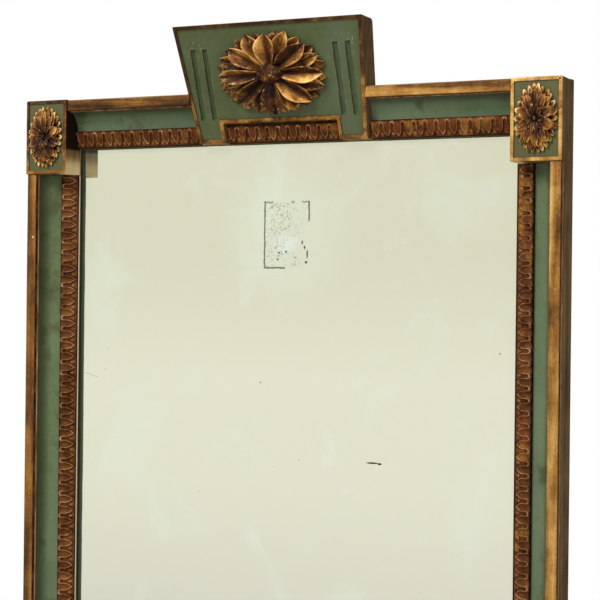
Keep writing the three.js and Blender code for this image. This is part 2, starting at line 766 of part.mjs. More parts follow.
// A pointed fastener along Y: its tip forward, its head towards the wall.
function fastener(x, z, tip, seat, radius, headRadius, head) {
  const profile = [
    [0, tip],
    [radius, tip + 2 * radius],
    [radius, seat],
    [headRadius, seat],
    [headRadius * 0.9, seat + head * 0.6],
    [0, seat + head],
  ];
  const points = profile.map(([r, y]) => new THREE.Vector2(r, y));
  const geometry = new THREE.LatheGeometry(points, 12);
  geometry.translate(x, 0, z);
  return toSolid(geometry);
}

for (const [level, z] of Object.entries(BRAD_ROWS)) {
  for (let i = 0; i < BOARD_COUNT; i += 1) {
    const brad = fastener(
      boardMiddle(i),
      z,
      FRONT_Y + BRAD_TIP,
      FRONT_Y + BRAD_SEAT,
      BRAD_RADIUS,
      BRAD_HEAD_RADIUS,
      BRAD_HEAD,
    );
    addPiece(`brad_${level}_${i + 1}`, brad, IRON, 0.6, 0.8);
  }
}

for (const [hand, sign] of [['left', -1], ['right', 1]]) {
  const screw = fastener(
    sign * CREST_SCREW_X,
    0,
    FRONT_Y + SEAT_DEPTH - CREST_SCREW_BITE,
    FRONT_Y + CREST_SCREW_SEAT,
    CREST_SCREW_RADIUS,
    CREST_SCREW_HEAD_RADIUS,
    CREST_SCREW_HEAD,
  );
  addPiece(`crest_screw_${hand}`, screw, IRON, 0.6, 0.8);
}

// ---------------------------------------------------------------- hanging rings

// A flat iron plate with a short eye at its foot.
function hangerPlate(x) {
  const back = -POCKET_DEPTH + GAP;
  const foot = HANGER_Z - EYE_RADIUS;
  const plate = box(
    x - PLATE_WIDTH / 2,
    x + PLATE_WIDTH / 2,
    back,
    back + PLATE_THICKNESS,
    foot + EYE_RADIUS * 0.5,
    HANGER_Z + PLATE_HEIGHT,
  );
  const eye = new THREE.CylinderGeometry(EYE_RADIUS, EYE_RADIUS, EYE_WIDTH, 16);
  const bore = new THREE.CylinderGeometry(RING_WIRE + RING_PLAY, RING_WIRE + RING_PLAY, PLATE_WIDTH * 2, 16);
  for (const round of [eye, bore]) {
    round.rotateZ(Math.PI / 2);
    round.translate(x, RING_Y, HANGER_Z);
  }
  const relief = ringSweep(x);
  return plate.subtract(relief).add(toSolid(eye)).subtract(toSolid(bore)).subtract(hangerBores(x));
}

// The plate is cut away on both sides of the eye, where the ring turns past it.
function ringSweep(x) {
  const reach = EYE_RADIUS + 1;
  const low = HANGER_Z - EYE_RADIUS - 1;
  const high = HANGER_Z + RING_WIRE + RING_PLAY;
  const left = box(x - PLATE_WIDTH, x - EYE_WIDTH / 2, -POCKET_DEPTH, reach, low, high);
  const right = box(x + EYE_WIDTH / 2, x + PLATE_WIDTH, -POCKET_DEPTH, reach, low, high);
  return left.add(right);
}

for (const [hand, sign] of [['left', -1], ['right', 1]]) {
  const x = sign * HANGER_X;
  addPiece(`hanger_${hand}`, hangerPlate(x), IRON, 0.6, 0.8);
  const ring = new THREE.TorusGeometry(RING_RADIUS, RING_WIRE, 8, 24);
  ring.rotateX(Math.PI / 2);
  ring.translate(x, RING_Y, HANGER_Z - RING_RADIUS);
  addPiece(`ring_${hand}`, toSolid(ring), IRON, 0.5, 0.9);
  const seat = -POCKET_DEPTH + GAP + PLATE_THICKNESS + GAP;
  for (const [index, height] of HANGER_SCREW_HEIGHTS.entries()) {
    const screw = fastener(
      x,
      HANGER_Z + height,
      seat - HANGER_SCREW_BITE,
      seat,
      HANGER_SCREW_RADIUS,
      HANGER_SCREW_HEAD_RADIUS,
      HANGER_SCREW_HEAD,
    );
    addPiece(`hanger_screw_${hand}_${index + 1}`, screw, IRON, 0.6, 0.8);
  }
}

export default group;
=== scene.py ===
# %% [markdown]
# # An old trumeau mirror, painted green and gilded
#
# A trumeau is a tall mirror that hangs between two windows or over a fireplace. This one is made of softwood.
# Its frame is painted green, and its mouldings and carvings were gilded, then worn by two centuries of dusting.
#
# The sizes come from a measured model, which is loaded first and never moved. Each plain piece of it is then
# dressed, or replaced in the same place by a finer one.

import math
import random

import bmesh
import bpy
from mathutils import Matrix, Vector


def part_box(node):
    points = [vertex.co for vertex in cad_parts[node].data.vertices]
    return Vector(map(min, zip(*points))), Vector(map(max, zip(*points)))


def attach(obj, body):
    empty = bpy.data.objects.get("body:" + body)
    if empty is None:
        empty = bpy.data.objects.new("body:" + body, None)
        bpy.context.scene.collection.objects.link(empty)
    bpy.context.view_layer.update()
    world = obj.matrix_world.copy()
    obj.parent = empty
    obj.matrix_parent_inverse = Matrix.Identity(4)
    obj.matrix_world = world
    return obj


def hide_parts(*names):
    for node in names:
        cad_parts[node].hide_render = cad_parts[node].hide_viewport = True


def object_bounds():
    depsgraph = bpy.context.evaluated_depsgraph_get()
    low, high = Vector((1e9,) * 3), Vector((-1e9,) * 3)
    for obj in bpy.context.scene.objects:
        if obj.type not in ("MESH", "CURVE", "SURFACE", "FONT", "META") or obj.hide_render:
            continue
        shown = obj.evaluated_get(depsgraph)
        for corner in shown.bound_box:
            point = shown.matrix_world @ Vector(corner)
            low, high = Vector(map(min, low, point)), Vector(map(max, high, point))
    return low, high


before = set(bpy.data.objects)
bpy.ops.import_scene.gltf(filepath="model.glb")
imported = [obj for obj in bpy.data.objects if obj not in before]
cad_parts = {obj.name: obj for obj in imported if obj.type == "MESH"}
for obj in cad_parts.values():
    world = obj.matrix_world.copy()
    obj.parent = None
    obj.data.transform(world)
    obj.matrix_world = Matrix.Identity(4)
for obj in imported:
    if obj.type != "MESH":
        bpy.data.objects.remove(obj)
measured_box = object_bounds()
low, high = measured_box
print("width, depth, height in metres:", [round(b - a, 3) for a, b in zip(low, high)])

# %% [markdown]
# ## Where the frame's lines run
#
# Every moulding is counted from the outside of the frame towards the mirror, and from the gilt fillet's face
# back towards the wall. Reading these lines off the measured pieces keeps the new ones in place.

# %% Read the main lines
MM = 0.001
OUTER_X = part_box("stile_right")[1].x
FACE_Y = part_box("fillet_left")[0].y
TOP_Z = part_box("rail_top")[1].z
FOOT_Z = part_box("rail_bottom")[0].z
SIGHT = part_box("leaf_left")[1].x + OUTER_X
INNER_X = OUTER_X - SIGHT
MIDDLE_Z, HALF_HEIGHT = (TOP_Z + FOOT_Z) / 2, (TOP_Z - FOOT_Z) / 2
print("outer edge", OUTER_X, "face", FACE_Y, "top", TOP_Z, "foot", FOOT_Z, "sight", round(SIGHT, 4))

# %% [markdown]
# ## The camera
#
# The mirror is seen from its right side, about 25 degrees off its front, by a long lens at the height of the
# middle of the picture. The lens and place were worked out from the frame's corners and the edges of its
# mouldings. The picture leans by two thirds of a degree, so the camera is turned about its own axis as well.

# %% Place the camera
HEADING, ROLL = math.radians(25.27), math.radians(0.658)
STANDPOINT = (1.2320, -2.5616, -0.3222)
camera_data = bpy.data.cameras.new("camera")
camera_data.sensor_width = 36.0
camera_data.lens = 99.24
camera = bpy.data.objects.new("camera", camera_data)
bpy.context.collection.objects.link(camera)
sideways = Vector((math.cos(HEADING), math.sin(HEADING), 0))
ahead = Vector((-math.sin(HEADING), math.cos(HEADING), 0))
upright = Vector((0, 0, 1))
image_right = sideways * math.cos(ROLL) + upright * math.sin(ROLL)
image_up = upright * math.cos(ROLL) - sideways * math.sin(ROLL)
turn = Matrix((image_right, image_up, -ahead)).transposed()
camera.matrix_world = Matrix.Translation(STANDPOINT) @ turn.to_4x4()
bpy.context.scene.camera = camera
print("the camera stands", round(camera.location.length, 2), "m from the middle of the top rail")

# %% [markdown]
# ## Helpers for finishes
#
# Every finish is one Principled shader with patterns that read the object's own coordinates, so nothing has to
# be unwrapped and a pattern keeps its size in millimetres from piece to piece. A pattern is made of amounts, which
# are numbers that the nodes work out afresh for every place on a piece. Amounts can be added and multiplied like
# plain numbers, and each such step adds one Math node.


# %% Colours and amounts
def rgb(red, green, blue):
    """A colour from 0 to 255, as Blender's linear numbers."""
    linear = [c / 3294.6 if c <= 10 else ((c / 255 + 0.055) / 1.055) ** 2.4 for c in (red, green, blue)]
    return (*linear, 1.0)


class Amount:
    """A number that a finish's nodes work out for every place, held as the socket that gives it."""

    def __init__(self, finish, socket):
        self.finish = finish
        self.socket = socket

    def __add__(self, other):
        return self.finish.maths("ADD", self, other)

    def __sub__(self, other):
        return self.finish.maths("SUBTRACT", self, other)

    def __rsub__(self, number):
        return self.finish.maths("SUBTRACT", number, self)

    def __mul__(self, other):
        return self.finish.maths("MULTIPLY", self, other)

    def __truediv__(self, other):
        return self.finish.maths("DIVIDE", self, other)

    def __abs__(self):
        return self.finish.maths("ABSOLUTE", self)


def largest(first, *others):
    """The largest of some amounts, which joins the places that they mark."""
    for other in others:
        first = first.finish.maths("MAXIMUM", first, other)
    return first


print("a middle grey, 128 of 255, is", round(rgb(128, 128, 128)[0], 3), "in linear numbers")


# %% A mixture of nodes
class Mixture:
    """One Principled shader, and the nodes that are joined to it one at a time."""

    def __init__(self, name, roughness=0.6, metallic=0.0, shine=0.12):
        self.material = bpy.data.materials.new(name)
        self.material.use_nodes = True
        self.tree = self.material.node_tree
        self.shader = self.tree.nodes["Principled BSDF"]
        for socket, number in (("Roughness", roughness), ("Metallic", metallic), ("Specular IOR Level", shine)):
            self.shader.inputs[socket].default_value = number
        self.place = self.node("TexCoord").outputs["Object"]
        self.x, self.y, self.z = self.parts(self.place)

    def put(self, socket, value):
        """Joins an amount or a colour to a socket, or writes a plain value there."""
        if isinstance(value, Amount):
            value = value.socket
        if isinstance(value, bpy.types.NodeSocket):
            self.tree.links.new(value, socket)
        else:
            socket.default_value = value

    def node(self, kind, sockets=None, **settings):
        """Adds one node, chooses its settings and fills its sockets, which are named or counted from 0."""
        node = self.tree.nodes.new("ShaderNode" + kind)
        for name, choice in settings.items():
            setattr(node, name, choice)
        for key, value in (sockets or {}).items():
            self.put(node.inputs[key], value)
        return node

    def parts(self, vector):
        return [Amount(self, part) for part in self.node("SeparateXYZ", {0: vector}).outputs]

    def maths(self, operation, first, second=0.0):
        return Amount(self, self.node("Math", {0: first, 1: second}, operation=operation).outputs[0])

    def step(self, value, start, end, low=0.0, high=1.0):
        """Runs smoothly from low to high while the value goes from start to end."""
        sockets = {"Value": value, "From Min": start, "From Max": end, "To Min": low, "To Max": high}
        return Amount(self, self.node("MapRange", sockets, interpolation_type="SMOOTHSTEP").outputs["Result"])

    def tones(self, value, *stops):
        """A scale of colours: each stop is a place from 0 to 1, then red, green and blue."""
        ramp = self.node("ValToRGB", {0: value})
        points = ramp.color_ramp.elements
        while len(points) < len(stops):
            points.new(1.0)
        for point, (place, *colour) in zip(points, stops):
            point.position = place
            point.color = rgb(*colour)
        return ramp.outputs[0]

    def coats(self, colour, *coats):
        """Lays coats over a colour, one by one. Each is an amount from 0 to 1 and a colour."""
        for amount, over in coats:
            colour = self.node("Mix", {"Factor": amount, 6: colour, 7: over}, data_type="RGBA").outputs[2]
        return colour

    def bump(self, height, depth, strength=1.0):
        node = self.node("Bump", {"Strength": strength, "Distance": depth, "Height": height})
        self.put(self.shader.inputs["Normal"], node.outputs[0])

    def colour(self, value):
        self.put(self.shader.inputs["Base Color"], value)

    def roughness(self, value):
        self.put(self.shader.inputs["Roughness"], value)


print("kinds of shader node to choose from:", sum(name.startswith("ShaderNode") for name in dir(bpy.types)))


# %% The patterns that a finish can use
RAY_CHANGE = 26.0  # how fast a streak changes along its length


class Finish(Mixture):
    """A mixture with the patterns that old paint, gold, wood and silver show."""

    def noise(self, vector, scale, detail, rough, bend=0.0):
        sockets = {"Vector": vector, "Scale": scale, "Detail": detail, "Roughness": rough, "Distortion": bend}
        return Amount(self, self.node("TexNoise", sockets).outputs["Fac"])

    def cloud(self, scale, detail=4.0, rough=0.55, stretch=(1, 1, 1), bend=0.0):
        """Soft noise. A stretch below 1 draws it out along that axis."""
        drawn = self.node("Mapping", {"Vector": self.place, "Scale": stretch})
        return self.noise(drawn.outputs[0], scale, detail, rough, bend)

    def patches(self, scale, start, end, most=1.0, least=0.0, **kind):
        """Soft patches: from least to most where a cloud of some kind goes from start to end."""
        return self.step(self.cloud(scale, **kind), start, end, least, most)

    def dots(self, scale):
        """How far the nearest of a scatter of points is."""
        return Amount(self, self.node("TexVoronoi", {"Vector": self.place, "Scale": scale}).outputs["Distance"])

    def rays(self, spread, count, offset, level):
        """Streaks that run outwards from the middle of each rosette. The level is how far above that middle a
        place lies, the offset how far the middle lies to the side, and the spread its width over its height."""
        across = abs(self.x) - offset
        upward = level(self) * spread
        turn = self.maths("ARCTAN2", upward, across) * count
        reach = self.maths("SQRT", across * across + upward * upward) * RAY_CHANGE
        return self.noise(self.node("CombineXYZ", {0: turn, 1: reach}).outputs[0], 1.0, 4.0, 0.6)

    def oval(self, sideways, upward, soft=0.4):
        """1 inside an oval and 0 outside it. Each direction is an amount, the middle and half the length."""
        first, second = [(amount - middle) / half for amount, middle, half in (sideways, upward)]
        return self.step(first * first + second * second, 1 + soft, max(0.0, 1 - soft))

    def spot(self, x, z, half_wide, half_high, soft=0.4):
        """An oval on the mirror's plane."""
        return self.oval((self.x, x, half_wide), (self.z, z, half_high), soft)

    def carved(self, name="Lift"):
        """A value that the carving left on its points."""
        return Amount(self, self.node("Attribute", attribute_name=name).outputs["Fac"])

    def facing(self):
        """The three parts of the surface's own direction."""
        return self.parts(self.node("NewGeometry").outputs["Normal"])

    def edges(self, radius):
        """About 1 on a sharp edge and 0 on a flat, from how a rounded normal differs from the true one."""
        rounded = self.node("Bevel", {"Radius": radius}, samples=6).outputs[0]
        true = self.node("NewGeometry").outputs["Normal"]
        dot = self.node("VectorMath", {0: rounded, 1: true}, operation="DOT_PRODUCT")
        return self.step(dot.outputs["Value"], 0.995, 0.8)


def plain_tones(name, scale, stretch, *stops, roughness=0.7, shine=0.05):
    """A matt finish in a few tones, for narrow places where the leaf or the paint is gone, and for the painted
    shade in recesses.
    """
    plain = Finish(name, roughness=roughness, shine=shine)
    plain.colour(plain.tones(plain.cloud(scale, detail=6, stretch=stretch), *stops))
    return plain.material


EVENLY = (1, 1, 1)
# for the fillets' side walls: bare clay, made darker as painted shade on those walls
clay_and_painted_shade = plain_tones("clay_and_painted_shade", 50, EVENLY, (0.35, 44, 23, 12), (0.5, 78, 42, 23), (0.68, 116, 72, 44))
print("the clay under the gold is mixed from", len(clay_and_painted_shade.node_tree.nodes), "nodes")

# %% [markdown]
# ## The green paint
#
# It is old distemper: matt, brushed on in one coat over gesso, a little cloudy, and rubbed paler on the edges
# that a duster meets. Two sizes of noise make the clouds, and a third, drawn out, leaves the brush marks.

# %% Mix the green paint
UPRIGHT_STROKES, LEVEL_STROKES = (1, 1, 0.06), (0.06, 1, 1)


def green_paint(
    name, brushed=UPRIGHT_STROKES, deeper=0.0, olive=0.0, dust=rgb(66, 68, 36), corner=None, scratched=None
):
    """Deeper spreads the dust out and olive is the least of it. Corner marks places darkened with painted shade,
    such as beside the fillets, and scratched marks places that are scratched pale."""
    paint = Finish(name, roughness=0.6, shine=0.2)
    grain = paint.cloud(70, detail=7, rough=0.62)
    green = paint.tones(
        paint.cloud(7, detail=3) * 0.6 + grain * 0.4,
        (0.34, 78, 92, 58), (0.48, 93, 109, 72), (0.6, 104, 120, 83), (0.72, 116, 130, 94),
    )
    rubbed = paint.patches(34, 0.66, 0.74, 0.55, detail=9, rough=0.7)
    chalky = paint.patches(11, 0.48, 0.66, 0.5, detail=5, rough=0.6, stretch=brushed)
    dusty = paint.patches(19, 0.46 + deeper, 0.3 + deeper, 0.7, least=olive, detail=6, rough=0.6)
    coats = [(rubbed, rgb(146, 158, 124)), (chalky, rgb(112, 128, 106)), (dusty, dust)]
    if corner:
        # painted shade: a dark coat where the corner mask lies
        coats.append((corner(paint), rgb(44, 42, 18)))
    if scratched:
        coats.append((scratched(paint), rgb(158, 164, 124)))
    worn_edge = paint.edges(1.2 * MM) * paint.step(grain, 0.4, 0.6, 0.0, 0.7)
    paint.colour(paint.coats(green, *coats, (worn_edge, rgb(150, 142, 112))))
    paint.roughness(paint.step(grain, 0.3, 0.7, 0.5, 0.75))
    paint.bump(paint.cloud(160, detail=4, stretch=brushed) + grain * 0.6, 0.35 * MM, 0.7)
    return paint.material


# the flutes' green is darker and dustier: dust, and painted shade in the grooves
flute_green_dusty_and_shaded = green_paint("green_paint_dusty_and_shaded_in_flutes", deeper=0.2, olive=0.5, dust=rgb(50, 56, 28))
green_block = green_paint("green_paint_of_blocks", deeper=0.04, olive=0.74, dust=rgb(84, 76, 44))
print("green paint for the flutes and blocks:", flute_green_dusty_and_shaded.name, green_block.name)


# %% Mix it for the crest and the coves
def rubbed_by_flutes(paint):
    """Pale upright scratches round the upper ends of the crest's flutes."""
    side = abs(paint.x)
    near = paint.step(side, 112 * MM, 124 * MM) * paint.step(side, 166 * MM, 152 * MM)
    near = near * paint.step(abs(paint.z - (TOP_Z + 68 * MM)), 26 * MM, 4 * MM)
    return near * paint.patches(330, 0.54, 0.7, 0.75, detail=6, rough=0.7, stretch=(1, 1, 0.22))


# painted shade: the coves darker beside the gilt fillets, where the fillets' shadows fall
def shade_beside_stile_fillets(paint):
    return paint.step(abs(paint.x), OUTER_X - 36 * MM, OUTER_X - 23 * MM, 0.0, 0.7)


def shade_beside_rail_fillets(paint):
    return paint.step(abs(paint.z - MIDDLE_Z), HALF_HEIGHT - 34 * MM, HALF_HEIGHT - 22 * MM, 0.0, 0.7)


green_crest = green_paint("green_paint_of_crest", deeper=0.04, olive=0.58, scratched=rubbed_by_flutes)
cove_upright = green_paint("green_cove_upright", corner=shade_beside_stile_fillets)
cove_level = green_paint("green_cove_level", LEVEL_STROKES, corner=shade_beside_rail_fillets)
rubbed_green = plain_tones(
    "rubbed_green", 90, (1, 1, 0.4), (0.4, 84, 92, 60), (0.52, 106, 116, 80), (0.62, 150, 156, 122)
)
# painted shade on the walls of sunk fields and flutes, with grime
recess_grime_and_shade = plain_tones(
    "grime_and_painted_shade_in_the_recess", 60, EVENLY, (0.35, 36, 30, 16), (0.5, 52, 46, 26), (0.7, 84, 80, 50),
    roughness=0.8, shine=0.12,
)
print("green paint, brushed two ways:", cove_upright.name, cove_level.name, "and", recess_grime_and_shade.name)

# %% [markdown]
# ## The gilding
#
# Gold leaf was laid on red-brown clay over gesso. Where it has worn, the clay shows as warm brown, and the leaf
# that is left runs from ochre to pale gold in streaks along the moulding. The shader is only a third metal, because
# old leaf is broken and dusty. A dullness pulls the whole scale down towards the clay. On the fillets and the blocks
# it also holds painted shade and sheen: the gilding is darker on the left and brighter on the right.


# %% Mix the gilding for plain mouldings
def gilding(name, drawn, dullness_and_shade, gain=2.4, chips=()):
    """Gilding with its streaks drawn out along an axis. The gain is how much they differ, and a chip is the X and
    Z of a place where the gesso shows."""
    gilt = Finish(name, roughness=0.42, metallic=0.3)
    streaks = gilt.cloud(42, detail=6, rough=0.6, stretch=drawn, bend=0.4)
    patches = gilt.cloud(16, detail=4, rough=0.6)
    grain = gilt.cloud(260, detail=5, rough=0.65)
    tone = streaks * 0.56 + patches * 0.3 + grain * 0.14
    gold = gilt.tones(
        (tone - 0.5) * gain + 0.5 - dullness_and_shade(gilt),
        (0.05, 56, 34, 14), (0.25, 96, 62, 26), (0.45, 146, 100, 44), (0.62, 178, 134, 68), (0.88, 222, 180, 104),
    )
    bare = gilt.edges(1.4 * MM) * gilt.step(streaks, 0.62, 0.42, 0.0, 0.75)
    specks = gilt.patches(120, 0.34, 0.27, 0.4, detail=3, rough=0.5)
    coats = [(bare, rgb(84, 50, 28)), (specks, rgb(58, 36, 22))]
    coats += [(gilt.spot(x, z, 1.7 * MM, 1.9 * MM), rgb(214, 190, 150)) for x, z in chips]
    gilt.colour(gilt.coats(gold, *coats))
    gilt.roughness(gilt.step(patches, 0.3, 0.7, 0.55, 0.34))
    gilt.bump(streaks + grain * 0.5, 0.3 * MM, 0.7)
    return gilt.material


ALONG_Z, ALONG_X = (1, 1, 0.08), (0.08, 1, 1)
# painted shade and sheen: the left fillet darker and flatter, the right one brighter but darker towards its foot, the
# level ones darker towards the left
gilt_left = gilding("gilding_left", ALONG_Z, lambda gilt: 0.15, gain=1.9, chips=[(-0.4853, -0.2137)])
gilt_right = gilding("gilding_right", ALONG_Z, lambda gilt: gilt.step(gilt.z, -0.3, -0.7, -0.07, 0.06), gain=2.7)
gilt_level = gilding("gilding_level", ALONG_X, lambda gilt: gilt.step(gilt.x, 0.15, -0.25, 0.12, 0.32), gain=2.7)
rubbed_listel = plain_tones(
    "rubbed_listel", 60, (1, 1, 0.3), (0.35, 104, 68, 42), (0.5, 160, 118, 84), (0.66, 196, 156, 120)
)
print("gilding for the fillets:", gilt_left.name, gilt_right.name, gilt_level.name)


# %% Mix the gilding of the blocks' and the crest's borders
def block_dullness_and_shade(gilt):
    """The left blocks are duller, most of all at their tops, and the right blocks are the brightest. This is painted
    shade on the left and painted sheen on the right.
    """
    left = gilt.step(gilt.x, -0.3, -0.42) * gilt.step(gilt.z, TOP_Z - 0.11, TOP_Z - 0.03, 0.12, 0.36)
    return left - gilt.step(gilt.x, 0.3, 0.42, 0.0, 0.12)


def crest_dullness(gilt):
    """The crest's border is duller towards its top."""
    return gilt.step(gilt.z, TOP_Z - 0.03, TOP_Z + 0.06, 0.1, 0.42)


block_gilt = gilding("block_gilding", EVENLY, block_dullness_and_shade)
crest_gilt = gilding("crest_gilding", EVENLY, crest_dullness)
print("gilding for the borders:", block_gilt.name, crest_gilt.name)

# %% [markdown]
# ## Gilding on carved work
#
# A carving wears on its high points and keeps dirt in its hollows. Each carved piece below leaves two values on
# its points. Lift is 0 in the hollows and 1 on the ridges, and this finish turns it into a scale of colours. Rim is
# 1 on the raised rims, where the leaf has come off in pale flecks. A Lift of -2 marks the plain strip along the
# mirror, which was never carved. It is olive, pale at the left and brown at the right.

# %% Mix the gilding for carved work
STRIP_LIFT = -2.0


def carved_gilding(
    name, tones, metallic=0.25, mottle=0.3, shine=0.15, crisp=0.0, rays=None, stains=(), flecks=0.65
):
    """The tones are for hollow, flank, swell, ridge and glint. Mottle is how broken the leaf is and crisp how far
    up the lighter tones start. Each stain is the scale of its patches, a colour, and how strong it gets at the
    right, as the left is cleaner."""
    hollow, flank, swell, ridge, glint = tones
    gilt = Finish(name, roughness=0.42, metallic=metallic, shine=shine)
    lift = gilt.carved()
    patches = gilt.cloud(48, detail=5, rough=0.62)
    grain = gilt.cloud(320, detail=4, rough=0.6)
    tone = lift + (patches - 0.5) * (mottle * 4) + (grain - 0.5) * 0.25
    height = patches + grain * 0.5
    if rays:
        ray = gilt.rays(*rays)
        tone = tone + (ray - 0.5) * 0.9
        height = height + ray * 2.0
    tone = tone * 0.78
    gold = gilt.tones(
        tone, (0.02, *hollow), (0.25 + crisp / 2, *flank), (0.48 + crisp, *swell), (0.74, *ridge), (1.0, *glint)
    )
    for scale, stain, most in stains:
        spread = gilt.patches(scale, 0.5, 0.64, detail=3) * gilt.step(gilt.x, -0.4, 0.4, 0.1, most)
        gold = gilt.coats(gold, (spread * gilt.step(tone, 0.1, 0.35), stain))
    flecked = gilt.patches(190, 0.56, 0.66, flecks, detail=3, rough=0.5)
    flecked = flecked * gilt.step(gilt.carved("Rim"), 0.35, 0.85) * gilt.step(tone, 0.08, 0.4, 0.15, 1.0)
    strip = gilt.coats(
        rgb(78, 74, 46),
        (gilt.step(gilt.x, 0.4 * MM - INNER_X, -INNER_X), rgb(202, 184, 156)),
        (gilt.step(gilt.x, INNER_X - 0.4 * MM, INNER_X), rgb(66, 42, 20)),
    )
    gilt.colour(gilt.coats(gold, (flecked, rgb(206, 172, 124)), (gilt.step(lift, -1.2, -1.5), strip)))
    gilt.roughness(gilt.step(patches, 0.3, 0.7, 0.62, 0.44))
    gilt.bump(height, 0.3 * MM, 0.6)
    return gilt.material


leaf_gilding = carved_gilding(
    "leaf_tip_gilding", [(36, 19, 8), (88, 49, 21), (116, 70, 28), (164, 118, 72), (218, 184, 138)],
    metallic=0.1, mottle=0.36, shine=0.08, crisp=0.1, flecks=0.5,
    stains=((27, rgb(166, 114, 46), 0.55), (23, rgb(118, 50, 30), 0.32)),
)
print("gilding for the leaf-tips:", leaf_gilding.name)

# %% Mix the gilding of the rosettes, with streaks along the petals
ROSETTE_TONES = [(24, 12, 5), (78, 43, 16), (142, 92, 34), (222, 168, 84), (250, 216, 150)]


def middle_and_size(node):
    lower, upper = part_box(node)
    return (lower + upper) / 2, upper - lower


crest_middle, _ = middle_and_size("crest_rosette")
block_middle, block_size = middle_and_size("block_rosette_top_right")
rosette_gilding = carved_gilding(
    "rosette_gilding", ROSETTE_TONES, rays=(1.4, 7.0, 0.0, lambda gilt: gilt.z - crest_middle.z)
)
block_rosette_gilding = carved_gilding(
    "block_rosette_gilding", ROSETTE_TONES,
    rays=(
        block_size.x / block_size.z, 9.0, block_middle.x,
        lambda gilt: abs(gilt.z - MIDDLE_Z) - (block_middle.z - MIDDLE_Z),
    ),
)
print("gilding for the rosettes:", rosette_gilding.name, block_rosette_gilding.name)

# %% [markdown]
# ## Brown paint, bare wood, iron and silver
#
# The frame's outer sides are dark brown, streaked and chipped to the gesso in a few places. Behind, and inside the
# rebates, the pine was never painted. One finish serves the stiles and rails: it chooses brown, olive or bare
# wood by where the surface lies and which way it faces.


# %% Mix the brown paint and the bare wood
CHIPPED_TO = FACE_Y + 24 * MM


def wood_colours(wood, along):
    stretch = {"z": (1, 1, 0.035), "x": (0.035, 1, 1)}[along]
    rings = wood.cloud(85, detail=5, rough=0.55, stretch=stretch, bend=1.2)
    fibres = wood.cloud(420, detail=4, stretch=stretch)
    colour = wood.tones(
        rings * 0.6 + fibres * 0.2 + wood.cloud(6, detail=4) * 0.25,
        (0.36, 116, 88, 52), (0.5, 158, 126, 80), (0.6, 186, 154, 104), (0.72, 206, 178, 130),
    )
    return colour, rings, fibres


def brown_colours(paint, along, chipped=()):
    """Brown paint, chipped along the front edges and in some ovals on the right-hand side."""
    streaks = paint.cloud(60, detail=6, rough=0.6, stretch={"z": (1, 1, 0.05), "x": (0.05, 1, 1)}[along])
    brown = paint.tones(
        streaks * 0.6 + paint.cloud(14, detail=5, rough=0.6) * 0.4,
        (0.32, 64, 49, 32), (0.48, 96, 77, 53), (0.6, 116, 94, 67), (0.75, 142, 116, 86),
    )
    chips = paint.edges(2.4 * MM) * paint.patches(30, 0.53, 0.6, 0.95, detail=7)
    chips = chips * paint.step(paint.y, CHIPPED_TO, CHIPPED_TO - 8 * MM)
    for y, z, deep, high in chipped:
        chip = paint.oval((paint.y, y, deep), (paint.z, z, high), soft=0.3)
        chips = largest(chips, chip * paint.step(paint.x, OUTER_X - 2 * MM, OUTER_X - 1 * MM))
    return paint.coats(brown, (chips, rgb(200, 182, 152))), streaks


print("edges are chipped back to", round((CHIPPED_TO - FACE_Y) * 1000), "mm behind the fillet's face")


# %% Mix the finish of the stiles and rails
SIDE_CHIPS = (
    (-0.0555, -0.1435, 4.5 * MM, 8.5 * MM), (-0.0572, -0.1243, 2.0 * MM, 3.5 * MM),
    (-0.0550, -0.2206, 2.2 * MM, 4.0 * MM),
)


def carcass(name, along):
    body = Finish(name, roughness=0.75, shine=0.0)
    wood, rings, fibres = wood_colours(body, along)
    brown, streaks = brown_colours(body, along, SIDE_CHIPS if along == "z" else ())
    side = abs(body.x)
    outside = largest(
        body.step(side, OUTER_X - 0.3 * MM, OUTER_X - 0.1 * MM),
        body.step(body.z, TOP_Z - 0.3 * MM, TOP_Z - 0.1 * MM),
        body.step(body.z, FOOT_Z + 0.3 * MM, FOOT_Z + 0.1 * MM),
    )
    within = body.step(side, INNER_X + 0.4 * MM, INNER_X + 0.2 * MM)
    within = within * body.step(body.z, TOP_Z - SIGHT + 0.4 * MM, TOP_Z - SIGHT + 0.2 * MM)
    within = within * body.step(body.z, FOOT_Z + SIGHT - 0.4 * MM, FOOT_Z + SIGHT - 0.2 * MM)
    smoked = body.step(body.facing()[1], 0.4, 0.8, 0.0, 0.45)
    body.colour(body.coats(wood, (smoked, rgb(92, 68, 44)), (outside, brown), (within, rgb(62, 60, 44))))
    body.bump(rings + (fibres + streaks), 0.4 * MM, 0.6)
    return body.material


stile_finish, rail_finish = carcass("brown_stile", "z"), carcass("brown_rail", "x")
print("stiles and rails:", stile_finish.name, rail_finish.name)


# %% Mix the sides of the blocks and the crest
def block_side():
    """Brown outside. Inside, almost black, but for the bare wood of the end that stands over the glass."""
    side = Finish("block_sides", roughness=0.75, shine=0.0)
    wood, rings, _ = wood_colours(side, "z")
    brown, streaks = brown_colours(side, "z")
    inward = side.step(abs(side.x), OUTER_X - 60 * MM, OUTER_X - 75 * MM)
    from_end = HALF_HEIGHT - abs(side.z - MIDDLE_Z)
    # painted shade darkens the bare end next to the mouldings, and painted light pales it further along
    dusty = side.coats(
        wood,
        (side.step(from_end, 118 * MM, 92 * MM, 0.0, 0.75), rgb(88, 70, 40)),
        (side.step(from_end, 100 * MM, 122 * MM, 0.0, 0.7), rgb(232, 210, 164)),
    )
    over_glass = inward * side.step(from_end, 86 * MM, 92 * MM)
    side.colour(side.coats(brown, (inward, rgb(34, 24, 18)), (over_glass, dusty)))
    side.bump(rings + streaks, 0.3 * MM, 0.6)
    return side.material


def crest_side():
    side = Finish("crest_sides", roughness=0.75, shine=0.0)
    brown, streaks = brown_colours(side, "z")
    side.colour(brown)
    side.bump(streaks, 0.3 * MM, 0.7)
    return side.material


